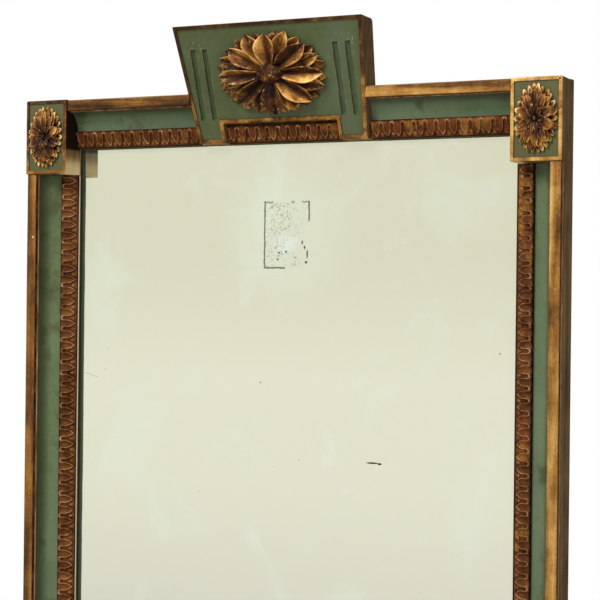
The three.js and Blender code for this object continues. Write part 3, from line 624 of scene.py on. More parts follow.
block_sides, crest_sides = block_side(), crest_side()
print("sides:", block_sides.name, crest_sides.name)


# %% Mix the old pine of the backboards and the iron
def old_pine():
    board = Finish("old_pine", roughness=0.8)
    wood, rings, _ = wood_colours(board, "z")
    smoke = board.patches(4, 0.3, 0.75, 0.6, least=0.2, detail=6, rough=0.65)
    board.colour(board.coats(wood, (smoke, rgb(84, 64, 46))))
    saw_marks = board.cloud(150, detail=2, stretch=(0.05, 1, 1))
    board.bump(saw_marks * 0.8 + rings, 0.6 * MM, 0.7)
    return board.material


def wrought_iron():
    iron = Finish("wrought_iron", roughness=0.5, metallic=0.75)
    hammered = iron.cloud(140, detail=6, rough=0.65)
    rust = iron.patches(60, 0.52, 0.66, detail=7, rough=0.65)
    iron.colour(iron.coats(iron.tones(hammered, (0.35, 44, 42, 40), (0.65, 92, 88, 84)), (rust, rgb(98, 62, 40))))
    iron.roughness(iron.step(rust, 0.0, 1.0, 0.42, 0.85))
    iron.bump(hammered, 0.25 * MM, 0.8)
    return iron.material


pine, iron = old_pine(), wrought_iron()
print("behind the mirror:", pine.name, iron.name)

# %% [markdown]
# ## The old silvering
#
# The plate was silvered with tin and mercury. It gives back a soft, faintly green and yellow light. In places the
# metal has clouded, and near the top a label-sized patch has lost its outline, with specks inside it. The
# patch is a rectangle whose distance is worked out in the nodes, broken up by masks so that only parts are left.


# %% Tint the silver
def silver_colour(silver):
    """Pale green, lightest above the middle as a painted reflection, with haze, a thin veil, and a bloom round
    the lost patch.
    """
    # painted reflection: the silver is lighter above the middle and darker at the top and the foot
    level = silver.tones(
        silver.step(silver.z, FOOT_Z, TOP_Z),
        (0.40, 214, 214, 197), (0.62, 225, 225, 203), (0.78, 226, 226, 204), (0.92, 216, 216, 190),
    )
    haze = silver.patches(5.5, 0.5, 0.72, 0.5, detail=4, bend=0.6)
    veil = silver.patches(16, 0.56, 0.7, 0.3, detail=7, rough=0.7)
    veil = veil * silver.step(abs(silver.x - 0.15), 0.16, 0.02)
    halo = silver.spot(-0.002, -0.205, 0.10, 0.10, soft=0.9) * 0.45
    bloom = silver.spot(0.002, -0.2265, 0.021, 0.017, soft=1.0)
    bloom = bloom * silver.patches(70, 0.3, 0.62, detail=4) * 0.6
    return silver.coats(
        level, (haze, rgb(224, 232, 214)), (veil, rgb(232, 240, 230)), (halo, rgb(224, 231, 208)),
        (bloom, rgb(228, 236, 232)),
    )


print("the silver's tint runs from", round(FOOT_Z, 3), "to", round(TOP_Z, 3))

# %% Draw the lost patch
PATCH_X, PATCH_Z = 0.0002, -0.2110
PATCH_HALF_WIDE, PATCH_HALF_HIGH = 0.0420, 0.0565
PATCH_SPOTS = (
    (0.0298, -0.2240, 0.0015, 0.0034), (0.0342, -0.2325, 0.0017, 0.0030), (0.0393, -0.2440, 0.0014, 0.0074),
    (0.0374, -0.2578, 0.0026, 0.0022), (-0.0140, -0.2415, 0.0020, 0.0018), (-0.0008, -0.2396, 0.0020, 0.0018),
    (-0.0160, -0.2530, 0.0016, 0.0018), (0.0180, -0.2500, 0.0014, 0.0012),
)


def lost_patch(silver):
    """Where the patch's outline is left at its left, foot, right and top, and the specks and spots inside it."""
    x, z = silver.x, silver.z
    across = abs(x - PATCH_X) - PATCH_HALF_WIDE
    upward = abs(z - PATCH_Z) - PATCH_HALF_HIGH
    outline = largest(across, upward) + (silver.cloud(190, detail=3) - 0.5) * 0.0035
    line = silver.step(abs(outline), 0.0020, 0.0010)
    at_left = silver.step(x, -0.038, -0.040)
    at_foot = silver.step(x, -0.001, -0.004) * silver.step(z, -0.262, -0.264)
    at_right = silver.step(x, 0.038, 0.040) * silver.step(z, -0.190, -0.186)
    dashes = largest(
        silver.step(x, -0.0245, -0.0270), silver.step(x, 0.0270, 0.0300),
        silver.step(abs(x - 0.0115), 0.0040, 0.0028),
    )
    at_top = dashes * 0.75 * silver.step(z, -0.158, -0.156)
    lost = line * largest(at_left, at_foot, at_right, at_top) * 0.8
    inside = silver.step(outline, 0.0, -0.002) * silver.step(x, 0.042, 0.0)
    specks = silver.patches(300, 0.52, 0.65, 0.66, detail=4, rough=0.7)
    clumps = silver.patches(45, 0.40, 0.54, least=0.25, detail=3)
    return largest(lost, specks * clumps * inside, *[silver.spot(*oval) * 0.9 for oval in PATCH_SPOTS])


print("the lost patch is", PATCH_HALF_WIDE * 2, "m wide and", PATCH_HALF_HIGH * 2, "m high")

# %% Add the stray marks and mix the silvering
SCRATCH_X, SCRATCH_Z, SCRATCH_SLOPE = -0.391, -0.4617, 0.27
MIRROR_ROUGHNESS = 0.035


def stray_marks(silver):
    """A short dark mark, a thin slanting scratch and a few stray dots."""
    mark = silver.spot(0.1640, -0.5935, 0.011, 0.0014, soft=0.5)
    blot = silver.spot(0.1770, -0.5945, 0.0035, 0.0018, soft=0.5)
    past = silver.x - SCRATCH_X
    hair = silver.step(abs(silver.z + past * SCRATCH_SLOPE - SCRATCH_Z), 0.0009, 0.0003, 0.0, 0.35)
    hair = hair * silver.step(abs(past), 0.017, 0.014)
    dots = silver.step(silver.dots(26), 0.045, 0.028, 0.0, 0.8) * silver.patches(9, 0.5, 0.62)
    return largest(mark, blot, hair, dots)


def old_silvering():
    silver = Finish("old_silvering", roughness=MIRROR_ROUGHNESS, metallic=1.0)
    lost = largest(lost_patch(silver), stray_marks(silver))
    # a dark olive band along the left edge only: lost silver, and painted shade for the shaded lip it would reflect
    lost_edge_and_painted_shade = silver.step(silver.x + INNER_X + silver.cloud(14, detail=4) * 0.003, 0.0098, 0.0078)
    silver.colour(silver.coats(silver_colour(silver), (lost, rgb(40, 42, 34)), (lost_edge_and_painted_shade, rgb(70, 77, 60))))
    lost = largest(lost, lost_edge_and_painted_shade)
    silver.put(silver.shader.inputs["Metallic"], silver.step(lost, 0.2, 0.8, 0.88, 0.0))
    silver.roughness(silver.step(lost, 0.0, 1.0, MIRROR_ROUGHNESS, 0.4))
    return silver.material


silvering = old_silvering()
print("the plate's finish:", silvering.name)

# %% [markdown]
# ## From a mesh in the making to a finished piece
#
# A bmesh is Blender's workbench for geometry. The first helper below takes one off the bench: it turns all the
# faces outwards, shades the curves smooth and the corners sharp, and says which measured pieces the new one
# replaces. The others are small tools that several pieces need, such as a saw and a plane for the arrises.


# %% Finish a piece
def finished(bm, name, materials, replaced, body="frame", sharp=32, rounds=0):
    bmesh.ops.recalc_face_normals(bm, faces=bm.faces)
    mesh = bpy.data.meshes.new(name)
    bm.to_mesh(mesh)
    bm.free()
    for material in materials:
        mesh.materials.append(material)
    mesh.shade_smooth()
    mesh.set_sharp_from_angle(angle=math.radians(sharp))
    piece = bpy.data.objects.new(name, mesh)
    bpy.context.collection.objects.link(piece)
    if rounds:
        smoother = piece.modifiers.new("rounding", "SUBSURF")
        smoother.levels = rounds
        smoother.render_levels = rounds
    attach(piece, body)
    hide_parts(*replaced)
    return piece


# %% Small tools
HAIR = 1e-6


def all_of(bm):
    return bm.verts[:] + bm.edges[:] + bm.faces[:]


def points_in(items):
    return [item for item in items if isinstance(item, bmesh.types.BMVert)]


def saw(bm, place, normal, **cleared):
    """Cuts a piece off at a plane and closes the cut."""
    cut = bmesh.ops.bisect_plane(bm, geom=all_of(bm), dist=1e-7, plane_co=place, plane_no=normal, **cleared)
    edges = [item for item in cut["geom_cut"] if isinstance(item, bmesh.types.BMEdge)]
    bmesh.ops.holes_fill(bm, edges=edges, sides=0)


def sharp_edges(bm, degrees=30):
    return [e for e in bm.edges if len(e.link_faces) == 2 and e.calc_face_angle() > math.radians(degrees)]


def box_bmesh(lower, upper):
    """A plain box between two corners, to be worked on."""
    bm = bmesh.new()
    bmesh.ops.create_cube(bm, size=1)
    bmesh.ops.scale(bm, vec=Vector(upper) - Vector(lower), verts=bm.verts)
    bmesh.ops.translate(bm, vec=(Vector(upper) + Vector(lower)) / 2, verts=bm.verts)
    return bm


def ease(bm, edges, by, segments=2):
    """Rounds edges over."""
    bmesh.ops.bevel(
        bm, geom=edges, offset=by, offset_type="OFFSET", segments=segments, profile=0.5, affect="EDGES",
        material=-1, clamp_overlap=True,
    )


def inset(bm, faces, thickness, depth=0.0, **how):
    """Insets faces by a border, or into a recess, and hands back the border's faces."""
    made = bmesh.ops.inset_individual(bm, faces=faces, thickness=thickness * MM, depth=depth * MM, **how)
    return made["faces"]


def colour_faces(faces, slot):
    for face in faces:
        face.material_index = slot


def face_towards(bm, direction):
    return max(bm.faces, key=lambda f: f.normal.dot(Vector(direction)) * f.calc_area())


trial = box_bmesh((0, 0, 0), (1, 1, 1))
print("a plain box has", len(sharp_edges(trial)), "sharp edges to ease")
trial.free()


# %% Lay out the runs of moulding
def on_side(side):
    """Lays local X along one side of the frame, Y across it towards the mirror and Z out towards the room."""
    along, across, corner = {
        "left": ((0, 0, 1), (1, 0, 0), (-OUTER_X, FACE_Y, 0)),
        "right": ((0, 0, 1), (-1, 0, 0), (OUTER_X, FACE_Y, 0)),
        "top": ((1, 0, 0), (0, 0, -1), (0, FACE_Y, TOP_Z)),
        "bottom": ((1, 0, 0), (0, 0, 1), (0, FACE_Y, FOOT_Z)),
    }[side]
    matrix = Matrix((along, across, (0, -1, 0))).transposed().to_4x4()
    matrix.translation = corner
    return matrix


def ends_of(node, side):
    """Where a measured run starts and stops along its side."""
    lower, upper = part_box(node)
    return (lower.x, upper.x) if side in ("top", "bottom") else (lower.z, upper.z)


def ends_before_sawing(node, side):
    """The same, but a top run goes on to the middle, because the saw takes it off at the crest."""
    start, end = ends_of(node, side)
    return 0.0 if node.endswith("top_right") else start, 0.0 if node.endswith("top_left") else end


RUNS = {"left": "left", "right": "right", "bottom": "bottom", "top_left": "top", "top_right": "top"}
CORNERS = [(level, hand) for level in ("top", "bottom") for hand in ("left", "right")]
CREST_FOOT_HALF = 158.5 * MM
CREST_TOP_HALF, _, CREST_TOP_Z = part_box("crest_board")[1]
CREST_FOOT_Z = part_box("crest_board")[0].z


def cut_at_crest(bm, run):
    """Cuts a top run along the slope of the crest's side, a hair clear of it."""
    sign = -1 if run == "top_left" else 1
    foot = Vector((sign * CREST_FOOT_HALF, 0, CREST_FOOT_Z))
    top = Vector((sign * CREST_TOP_HALF, 0, CREST_TOP_Z))
    slope = (top - foot).normalized()
    away = Vector((sign * slope.z, 0, -sign * slope.x))
    saw(bm, foot + away * 0.3 * MM, away, clear_inner=True)


def lay(bm, run, side):
    """Lays a run of moulding along its side, and cuts a top run off at the crest."""
    bmesh.ops.transform(bm, matrix=on_side(side), verts=bm.verts)
    if side == "top":
        cut_at_crest(bm, run)


print("runs of moulding:", list(RUNS))

# %% [markdown]
# ## The gilt fillet and the green cove
#
# Both are drawn as a section and pushed along their side. The fillet is a box with its front arrises bevelled. The
# cove is a hollow of a quarter of an ellipse: a point is spun through a quarter circle, the arc is stretched,
# and the section is closed behind it. Along the top, the crest's sloping sides cut the runs off.

# %% Build the fillets
FILLET_EDGE, FILLET_END, FILLET_BACK = 2 * MM, 20 * MM, -7.7 * MM
FILLET_GILT = {"left": gilt_left, "right": gilt_right}
for run, side in RUNS.items():
    start, end = ends_before_sawing(f"fillet_{run}", side)
    bm = box_bmesh((start, FILLET_EDGE, FILLET_BACK), (end, FILLET_END, 0))
    ease(bm, [e for e in bm.edges if all(v.co.z > -HAIR for v in e.verts)], 1.3 * MM, segments=3)
    bm.normal_update()
    # the side walls take the dark clay, which is painted shade as well as bare clay
    colour_faces([face for face in bm.faces if abs(face.normal.z) < 0.3], 1)
    lay(bm, run, side)
    finished(
        bm, f"gilt_fillet_{run}", [FILLET_GILT.get(run, gilt_level), clay_and_painted_shade], [f"fillet_{run}"], sharp=10
    )
print("five gilt fillets stand in place")

# %% Build the coves
LISTEL_START, LISTEL_FACE = 20.3 * MM, -8.3 * MM
COVE_START, COVE_END = 22.0 * MM, 54.2 * MM
COVE_LIP, COVE_DEPTH = -9.3 * MM, 26.7 * MM
MOULDING_BACK = -44.7 * MM


def cove_section():
    """The cove's section in local Y and Z, as a flat face at local X = 0."""
    bm = bmesh.new()
    first = bm.verts.new((0, -1, 0))
    bmesh.ops.spin(bm, geom=[first], cent=(0, 0, 0), axis=(1, 0, 0), dvec=(0, 0, 0), angle=math.pi / 2, steps=14)
    bmesh.ops.scale(bm, vec=(1, COVE_END - COVE_START, COVE_DEPTH), verts=bm.verts)
    bmesh.ops.translate(bm, vec=(0, COVE_END, COVE_LIP), verts=bm.verts)
    lip, foot = sorted((v for v in bm.verts if len(v.link_edges) == 1), key=lambda v: v.co.y)
    corners = [
        (COVE_START, LISTEL_FACE), (LISTEL_START, LISTEL_FACE), (LISTEL_START, MOULDING_BACK),
        (COVE_END, MOULDING_BACK),
    ]
    chain = [lip] + [bm.verts.new((0, y, z)) for y, z in corners] + [foot]
    for a, b in zip(chain, chain[1:]):
        bm.edges.new((a, b))
    bmesh.ops.holes_fill(bm, edges=bm.edges[:], sides=0)
    return bm


for run, side in RUNS.items():
    start, end = ends_before_sawing(f"cove_{run}", side)
    bm = cove_section()
    bmesh.ops.translate(bm, vec=(start, 0, 0), verts=bm.verts)
    grown = bmesh.ops.extrude_face_region(bm, geom=bm.faces[:])["geom"]
    bmesh.ops.translate(bm, vec=(end - start, 0, 0), verts=points_in(grown))
    for face in bm.faces:
        middle = face.calc_center_median()
        face.material_index = 1 if middle.y < COVE_START and middle.z > -9 * MM else 0
    lay(bm, run, side)
    green = cove_level if side in ("top", "bottom") else cove_upright
    finished(bm, f"green_cove_{run}", [green, rubbed_listel], [f"cove_{run}"])

# %% [markdown]
# ## The carved leaf-tips
#
# Next to the mirror runs a moulding of leaf-tips: hollow tongues with a thin raised rim. The rim is one winding
# line, which turns back in an arch between each two tongues, and a small dart lies in the groove there. One tongue
# is carved from a small flat grid. Its lines are bent into nested U shapes, so that one line of points can be the
# rim and another the hollow. The tongue is then repeated along each side, a little longer or shorter so that a
# whole number fits.

# %% Draw one leaf-tip, in millimetres
LEAF_START_ACROSS, LEAF_ACROSS = 54.8 * MM, 31.7
LEAF_HALF = 10.0
SHELL_HALF = [0.0, 4.7, 6.25, 7.6, LEAF_HALF]
SHELL_TIP = [16.0, 23.6, 26.7, 27.8, 28.4]
SHELL_LIFT = [0.42, 0.34, 1.0, 0.2, 0.4]
SHELL_RISE = [-1.9, -1.5, 0.8, -2.4, -1.6]
ROW_STOPS = [0.0, 3.2, 9.0, 15.5]
ARCH = {2: (6.25, 6.4), 3: (8.0, 4.1), 4: (LEAF_HALF, 3.5)}


def moulding_depth(t):
    """How far back the moulding's bare curve lies, t millimetres across it: a small swell, then a long hollow."""
    swell = 6.2
    if t < swell:
        return 30.6 - 1.3 * math.sin(t / swell * math.pi / 2)
    return 29.3 + 13.7 * ((t - swell) / (LEAF_ACROSS - swell)) ** 1.55


def leaf_point(column, row):
    """Place, depth and lift of one grid point, for a column and a row from 0 to 8."""
    m = abs(column - 4)
    side = -1 if column < 4 else 1
    if row == 8:
        return side * LEAF_HALF * m / 4, LEAF_ACROSS, 42.6, STRIP_LIFT
    if row <= 3:
        shell, s, t = m, SHELL_HALF[m], ROW_STOPS[row]
    else:
        from_tip = 7 - row
        shell = max(m, 4 - from_tip)
        if m >= 4 - from_tip:
            along = 0.55 * (row - 3) / max(m, 1)
        else:
            along = 1 - 0.45 * m / shell
        s = SHELL_HALF[shell] * (1 - along**1.7)
        t = ROW_STOPS[3] + (SHELL_TIP[shell] - ROW_STOPS[3]) * along
        if shell == 4 and m == 4:
            s, t = LEAF_HALF, ROW_STOPS[3] + (SHELL_TIP[4] - ROW_STOPS[3]) * (row - 3) / 4
        elif shell == 4:
            s, t = LEAF_HALF * m / 4, SHELL_TIP[4]
    rise, lift = SHELL_RISE[shell], SHELL_LIFT[shell]
    # row 0 is darker than the hollows: painted shade where the leaf-tips rise from the cove
    if row == 0:
        rise, lift = -0.4, -0.1
    elif row == 1 and m >= 2:
        (s, t), rise, lift = ARCH[m], 0.8, 1.0
    elif row == 2 and m >= 3:
        t, rise, lift = (8.2, -2.2, 0.16) if m == 3 else (6.6, -2.4, 0.14)
    elif m == 4 and row == 4:
        rise, lift = -2.4, 0.2
    elif m == 4 and row in (5, 6):
        rise, lift = -0.7, 0.8
    elif shell == 4 and row == 7:
        rise, lift = -0.6, 0.4
    return side * s, t, moulding_depth(t) - rise, lift


print("the moulding lies", moulding_depth(0), "to", round(moulding_depth(LEAF_ACROSS), 1), "mm back")


# %% Carve it
def carving_layers(bm):
    """The two values that a carving leaves on its points for its gilding."""
    for name in ("Lift", "Rim"):
        if name not in bm.verts.layers.float:
            bm.verts.layers.float.new(name)
    return bm.verts.layers.float["Lift"], bm.verts.layers.float["Rim"]


def carve_leaf():
    bm = bmesh.new()
    bmesh.ops.create_grid(bm, x_segments=8, y_segments=8, size=4)
    lift_layer, rim_layer = carving_layers(bm)
    for v in bm.verts:
        s, t, depth, lift = leaf_point(round(v.co.x) + 4, round(v.co.y) + 4)
        v.co = Vector((s * MM, LEAF_START_ACROSS + t * MM, -depth * MM))
        v[lift_layer] = lift
        v[rim_layer] = 1.0 if lift >= 0.8 else 0.0
    return bm


leaf = carve_leaf()
print("one leaf-tip has", len(leaf.faces), "faces")

# %% Repeat it along every run
LEAF_PITCH = 2 * LEAF_HALF * MM


def leaf_run(node, side):
    start, end = ends_of(node, side)
    count = max(1, round((end - start) / LEAF_PITCH))
    pitch = (end - start) / count
    bm = leaf.copy()
    bmesh.ops.scale(bm, vec=(pitch / LEAF_PITCH, 1, 1), verts=bm.verts)
    bmesh.ops.translate(bm, vec=(start + pitch / 2, 0, 0), verts=bm.verts)
    tile = all_of(bm)
    for i in range(1, count):
        new = bmesh.ops.duplicate(bm, geom=tile)["geom"]
        bmesh.ops.translate(bm, vec=(pitch * i, 0, 0), verts=points_in(new))
    bmesh.ops.remove_doubles(bm, verts=bm.verts, dist=0.02 * MM)
    rim = [e for e in bm.edges if e.is_boundary]
    for point in points_in(bmesh.ops.extrude_edge_only(bm, edges=rim)["geom"]):
        point.co.z = MOULDING_BACK
    bmesh.ops.holes_fill(bm, edges=[e for e in bm.edges if e.is_boundary], sides=0)
    bmesh.ops.transform(bm, matrix=on_side(side), verts=bm.verts)
    finished(bm, f"carved_{node}", [leaf_gilding], [node], sharp=60)
    return count


leaf_total = sum(leaf_run(f"leaf_{run}", side) for run, side in [*RUNS.items(), ("top_middle", "top")])
leaf.free()
print(leaf_total, "leaf-tips are carved")

# %% [markdown]
# ## The rosettes
#
# An oval rosette sits on the crest and on every corner block. Each is a few rings of petals over a low boss, round
# a bud. One petal is a small grid bent into a spoon with a raised rim and a point, and thickened. It is laid
# round the ring once for every petal, with small differences, as no two carved petals are alike. The round
# rosette is squeezed into an oval at the end.

# %% Carve one petal
PETAL_ROWS = 6
PETAL_OUTLINE = [0.32, 0.56, 0.80, 0.97, 1.0, 0.80, 0.07]
PETAL_HOLLOW = [0.35, 0.7, 0.95, 1.0, 0.95, 0.7, 0.15]
PETAL_CREST_AT = 0.62


def add_petal(bm, dice, turn, root, tip, wide, low, crest, droop, cup, rib=0.0, blunt=0.0, fade=0.28, glow=None):
    """Adds one petal. Its sizes are counted in radii of the rosette: where it starts and ends, half its width,
    its heights at the root, at the highest place and at the tip, and how deep it is hollowed. A rib above 0 is
    a ridge along its middle and one below 0 a crease. The glow says how much gold is left on it, and how much
    painted light its right half takes over its left, as if lit from one side. A blunt ring's tips take a painted
    glint."""
    lift_layer, rim_layer = carving_layers(bm)
    new = bmesh.ops.create_grid(bm, x_segments=PETAL_ROWS, y_segments=PETAL_ROWS, size=0.5)["verts"]
    turn += dice.uniform(-0.045, 0.045)
    tip *= dice.uniform(0.95, 1.0)
    wide *= dice.uniform(0.9, 1.08)
    crest *= dice.uniform(0.92, 1.03)
    tilt = dice.uniform(-0.018, 0.018)
    kept, lit_half_painted = glow or (dice.uniform(-0.14, 0.18), dice.uniform(-0.1, 0.25))
    tip_glow = dice.uniform(0.0, 0.5)
    along_middle = 0.22 if rib > 0 else (-0.16 if rib < 0 else 0)
    for v in new:
        a, b = v.co.x * 2, v.co.y + 0.5
        row = round(b * PETAL_ROWS)
        edge = abs(a)
        half = wide * max(PETAL_OUTLINE[row], blunt if row == PETAL_ROWS else 0)
        if edge == 1:
            half *= dice.uniform(0.93, 1.07)
        height = low + (crest - low) * math.sin(min(b / PETAL_CREST_AT, 1) * math.pi / 2)
        height -= (crest - droop) * max(0.0, (b - PETAL_CREST_AT) / (1 - PETAL_CREST_AT)) ** 1.6
        height += PETAL_HOLLOW[row] * (cup * (edge**1.4 - 0.3) + rib * max(0.0, 1 - 2 * edge)) + tilt * a * b
        lift = 0.2 - 0.5 * fade + fade * b + 0.36 * edge**3 + kept
        # painted light: one half of the petal lighter than the other, as if lit from the side
        lift += lit_half_painted * max(-1, min(1, 2.4 * a)) * (0.8 - 0.3 * edge)
        lift += along_middle if edge == 0 else 0
        lift -= 0.15 if row == 0 else 0
        # painted glint on the tips of a blunt ring
        lift += tip_glow if blunt and row >= PETAL_ROWS - 1 else 0
        v[lift_layer] = lift
        v[rim_layer] = max(edge, 0.9 if row >= PETAL_ROWS - 1 else 0) ** 2
        v.co = Vector((half * a, root + (tip - root) * b - 0.03 * edge * b, height))
    bmesh.ops.rotate(bm, verts=new, cent=(0, 0, 0), matrix=Matrix.Rotation(-turn, 3, "Z"))


print("a petal starts as a grid of", PETAL_ROWS**2, "faces")


# %% Lay the petals round
def rosette_bmesh(rings, seed):
    """A round rosette of radius 1 in local X and Y, with Z outwards."""
    dice = random.Random(seed)
    bm = bmesh.new()
    carving_layers(bm)
    for count, offset, sizes, extras in rings:
        glows = extras.get("glows", [None] * count)
        shape = {name: value for name, value in extras.items() if name != "glows"}
        for i in range(count):
            add_petal(bm, dice, (i + offset) / count * 2 * math.pi, *sizes, glow=glows[i], **shape)
    bmesh.ops.recalc_face_normals(bm, faces=bm.faces)
    for face in bm.faces:
        if face.normal.z < 0:
            face.normal_flip()
    bmesh.ops.solidify(bm, geom=bm.faces[:], thickness=0.022)
    return bm


def add_boss(bm, radius, height, low, lift):
    """A low boss under the petals, or the knob in the bud."""
    lift_layer, _ = carving_layers(bm)
    made = bmesh.ops.create_uvsphere(bm, u_segments=20, v_segments=10, radius=1)["verts"]
    for v in made:
        v[lift_layer] = lift
        v.co = Vector((v.co.x * radius, v.co.y * radius, low + max(v.co.z, -0.35) * height))


print("petals are highest at", PETAL_CREST_AT, "of their length")

# %% [markdown]
# The crest's rosette has eight long petals in front, eight behind them and sixteen narrow ones in the last ring,
# so that thirty-two points stand round its outline. Its front petals have a crease along the middle. Its bud is a
# ball of petals that close inwards, which here are petals that start far out and end at the middle. The rosettes
# of the blocks are smaller, and a rib runs up the middle of most of their petals.

# %% Build the crest's rosette
# each pair is the gold left on a petal, then the painted light on its right half over its left
front_glows = [
    (0.16, -0.34), (0.02, 0.24), (0.16, 0.42), (0.12, 0.38), (-0.1, -0.1), (-0.08, 0.1), (0.1, 0.28), (0.2, 0.3)
]
second_glows = [
    (0.22, 0.1), (0.2, 0.2), (0.16, -0.2), (0.06, 0.1), (-0.06, 0.1), (-0.08, 0.2), (0.08, 0.3), (0.2, -0.2)
]
# petals, first turn, then root, tip, width, heights at root, crest and tip, and hollow
crest_rings = [
    (16, 0.5, (0.40, 1.0, 0.135, 0.02, 0.08, 0.04, 0.05), {}),
    (8, 0.5, (0.20, 1.0, 0.165, 0.06, 0.12, 0.07, 0.07), dict(rib=-0.03, glows=second_glows)),
    (8, 0.0, (0.16, 0.965, 0.178, 0.12, 0.215, 0.14, 0.12), dict(rib=-0.05, glows=front_glows)),
    # the bud's petals take painted light on one half as well
    (7, 0.0, (0.26, 0.05, 0.13, 0.09, 0.24, 0.25, -0.04), dict(glows=[(0.02, 0.14)] * 7)),
    (5, 0.3, (0.17, 0.0, 0.095, 0.19, 0.27, 0.27, -0.03), dict(glows=[(0.12, 0.14)] * 5)),
]
CREST_SLOPE = 0.377
LEAN = math.atan(CREST_SLOPE)
OUT_OF_CREST = Vector((0, -math.cos(LEAN), -math.sin(LEAN)))
UP_THE_CREST = Vector((0, -math.sin(LEAN), math.cos(LEAN)))
ROSETTE_Z, ROSETTE_SUNK = TOP_Z + 26.7 * MM, 1.7 * MM


def crest_y(z):
    """How far out the crest's leaning face stands at a height."""
    return FACE_Y - 3.5 * MM - CREST_SLOPE * (z - TOP_Z)


onto_crest = Matrix((Vector((1, 0, 0)), UP_THE_CREST, OUT_OF_CREST)).transposed().to_4x4()
onto_crest.translation = Vector((0, crest_y(ROSETTE_Z), ROSETTE_Z)) - OUT_OF_CREST * ROSETTE_SUNK
bm = rosette_bmesh(crest_rings, seed=7)
add_boss(bm, 0.72, 0.06, 0.0, 0.0)
add_boss(bm, 0.19, 0.15, 0.08, 0.3)
bmesh.ops.scale(bm, vec=(105.5 * MM, 75.5 * MM, 80 * MM), verts=bm.verts)
bmesh.ops.transform(bm, matrix=onto_crest, verts=bm.verts)
crest_rosette = finished(
    bm, "carved_crest_rosette", [rosette_gilding], ["crest_rosette"], sharp=75, rounds=1
)
print("the crest's rosette has", len(crest_rosette.data.polygons), "faces before it is rounded")

# %% Build the rosettes of the corner blocks
block_rings = [
    (26, 0.5, (0.55, 1.02, 0.088, 0.03, 0.13, 0.11, 0.02), dict(blunt=0.45, fade=0.6)),
    (12, 0.5, (0.20, 0.93, 0.155, 0.08, 0.21, 0.13, 0.06), dict(rib=0.04, fade=0.5)),
    (10, 0.0, (0.12, 0.86, 0.17, 0.13, 0.28, 0.20, 0.08), dict(rib=0.05, fade=0.5)),
    (10, 0.5, (0.08, 0.48, 0.08, 0.22, 0.34, 0.30, 0.03), dict(fade=0.3)),
]
for level, hand in CORNERS:
    node = f"block_rosette_{level}_{hand}"
    middle, size = middle_and_size(node)
    bm = rosette_bmesh(block_rings, seed=len(level) * 10 + len(hand))
    add_boss(bm, 0.74, 0.12, 0.0, 0.0)
    add_boss(bm, 0.07, 0.08, 0.29, 0.6)
    lift_layer, _ = carving_layers(bm)
    for v in bm.verts:
        # darker round the middle, and darker still below it and on the left blocks, as painted shade
        v[lift_layer] += 0.4 * min(1.0, math.hypot(v.co.x, v.co.y)) - (0.33 if hand == "left" else 0.29)
        v[lift_layer] -= 0.14 * max(0.0, -v.co.y)
    bmesh.ops.scale(bm, vec=(size.x / 2, size.z / 2, 40 * MM), verts=bm.verts)
    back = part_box(node)[1].y
    place = Matrix(((1, 0, 0, middle.x), (0, 0, -1, back), (0, 1, 0, middle.z), (0, 0, 0, 1)))
    bmesh.ops.transform(bm, matrix=place, verts=bm.verts)
    finished(bm, f"carved_{node}", [block_rosette_gilding], [node], sharp=75, rounds=1)
print("four block rosettes stand in place, darker round their middles, with painted shade below")

# %% [markdown]
# ## The corner blocks
#
# A block is a box whose face has a sunk green field inside a gilt border. Its front face is inset once for the
# border and once more, with a depth, for the field. The arrises are rounded as wear has left them. Outside it
# is brown like the frame's sides. Inside, the end that stands over the glass was left as bare wood.

# %% Build the blocks
FIELD, BORDER, SIDES, RECESS = range(4)
ARRIS, WORN_CORNER = 1.6 * MM, 3 * MM


def sink_field(bm, front, border):
    """Leaves a border round a face, so many millimetres wide, and sinks the rest by two as a field."""
    inset(bm, [front], border, use_even_offset=True)
    colour_faces(inset(bm, [front], 0.5, -2), RECESS)
    front.material_index = FIELD


for level, hand in CORNERS:
    node = f"block_{level}_{hand}"
    lower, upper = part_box(node)
    bm = box_bmesh(lower, upper)
    bmesh.ops.recalc_face_normals(bm, faces=bm.faces)
    colour_faces(bm.faces, SIDES)
    face_towards(bm, (0, -1, 0)).material_index = BORDER
    worn_x = lower.x if hand == "left" else upper.x
    worn_z = upper.z if level == "top" else lower.z
    corner = [e for e in bm.edges if all(abs(v.co.x - worn_x) + abs(v.co.z - worn_z) < HAIR for v in e.verts)]
    ease(bm, corner, WORN_CORNER, segments=4)
    arrises = [e for e in sharp_edges(bm) if any(v.co.y < upper.y - HAIR for v in e.verts)]
    ease(bm, arrises, ARRIS, segments=3)
    colour_faces([face for face in bm.faces if face.normal.y < -0.3], BORDER)
    sink_field(bm, face_towards(bm, (0, -1, 0)), 4.4)
    finished(bm, f"painted_{node}", [green_block, block_gilt, block_sides, recess_grime_and_shade], [node], sharp=10)
print("four corner blocks stand in place")

# %% [markdown]
# ## The crest
#
# The crest is one thick board that leans out over the top rail, wider at its top, with a notch between two feet.
# Its outline is drawn on the leaning face, pushed straight back, and sawn off where it meets the rail. The
# border is an inset, the field an inset with a depth. For the flutes, the field is cut by upright and level
# planes, and the four narrow panels between the cuts are inset again and again, each time deeper, into round grooves.

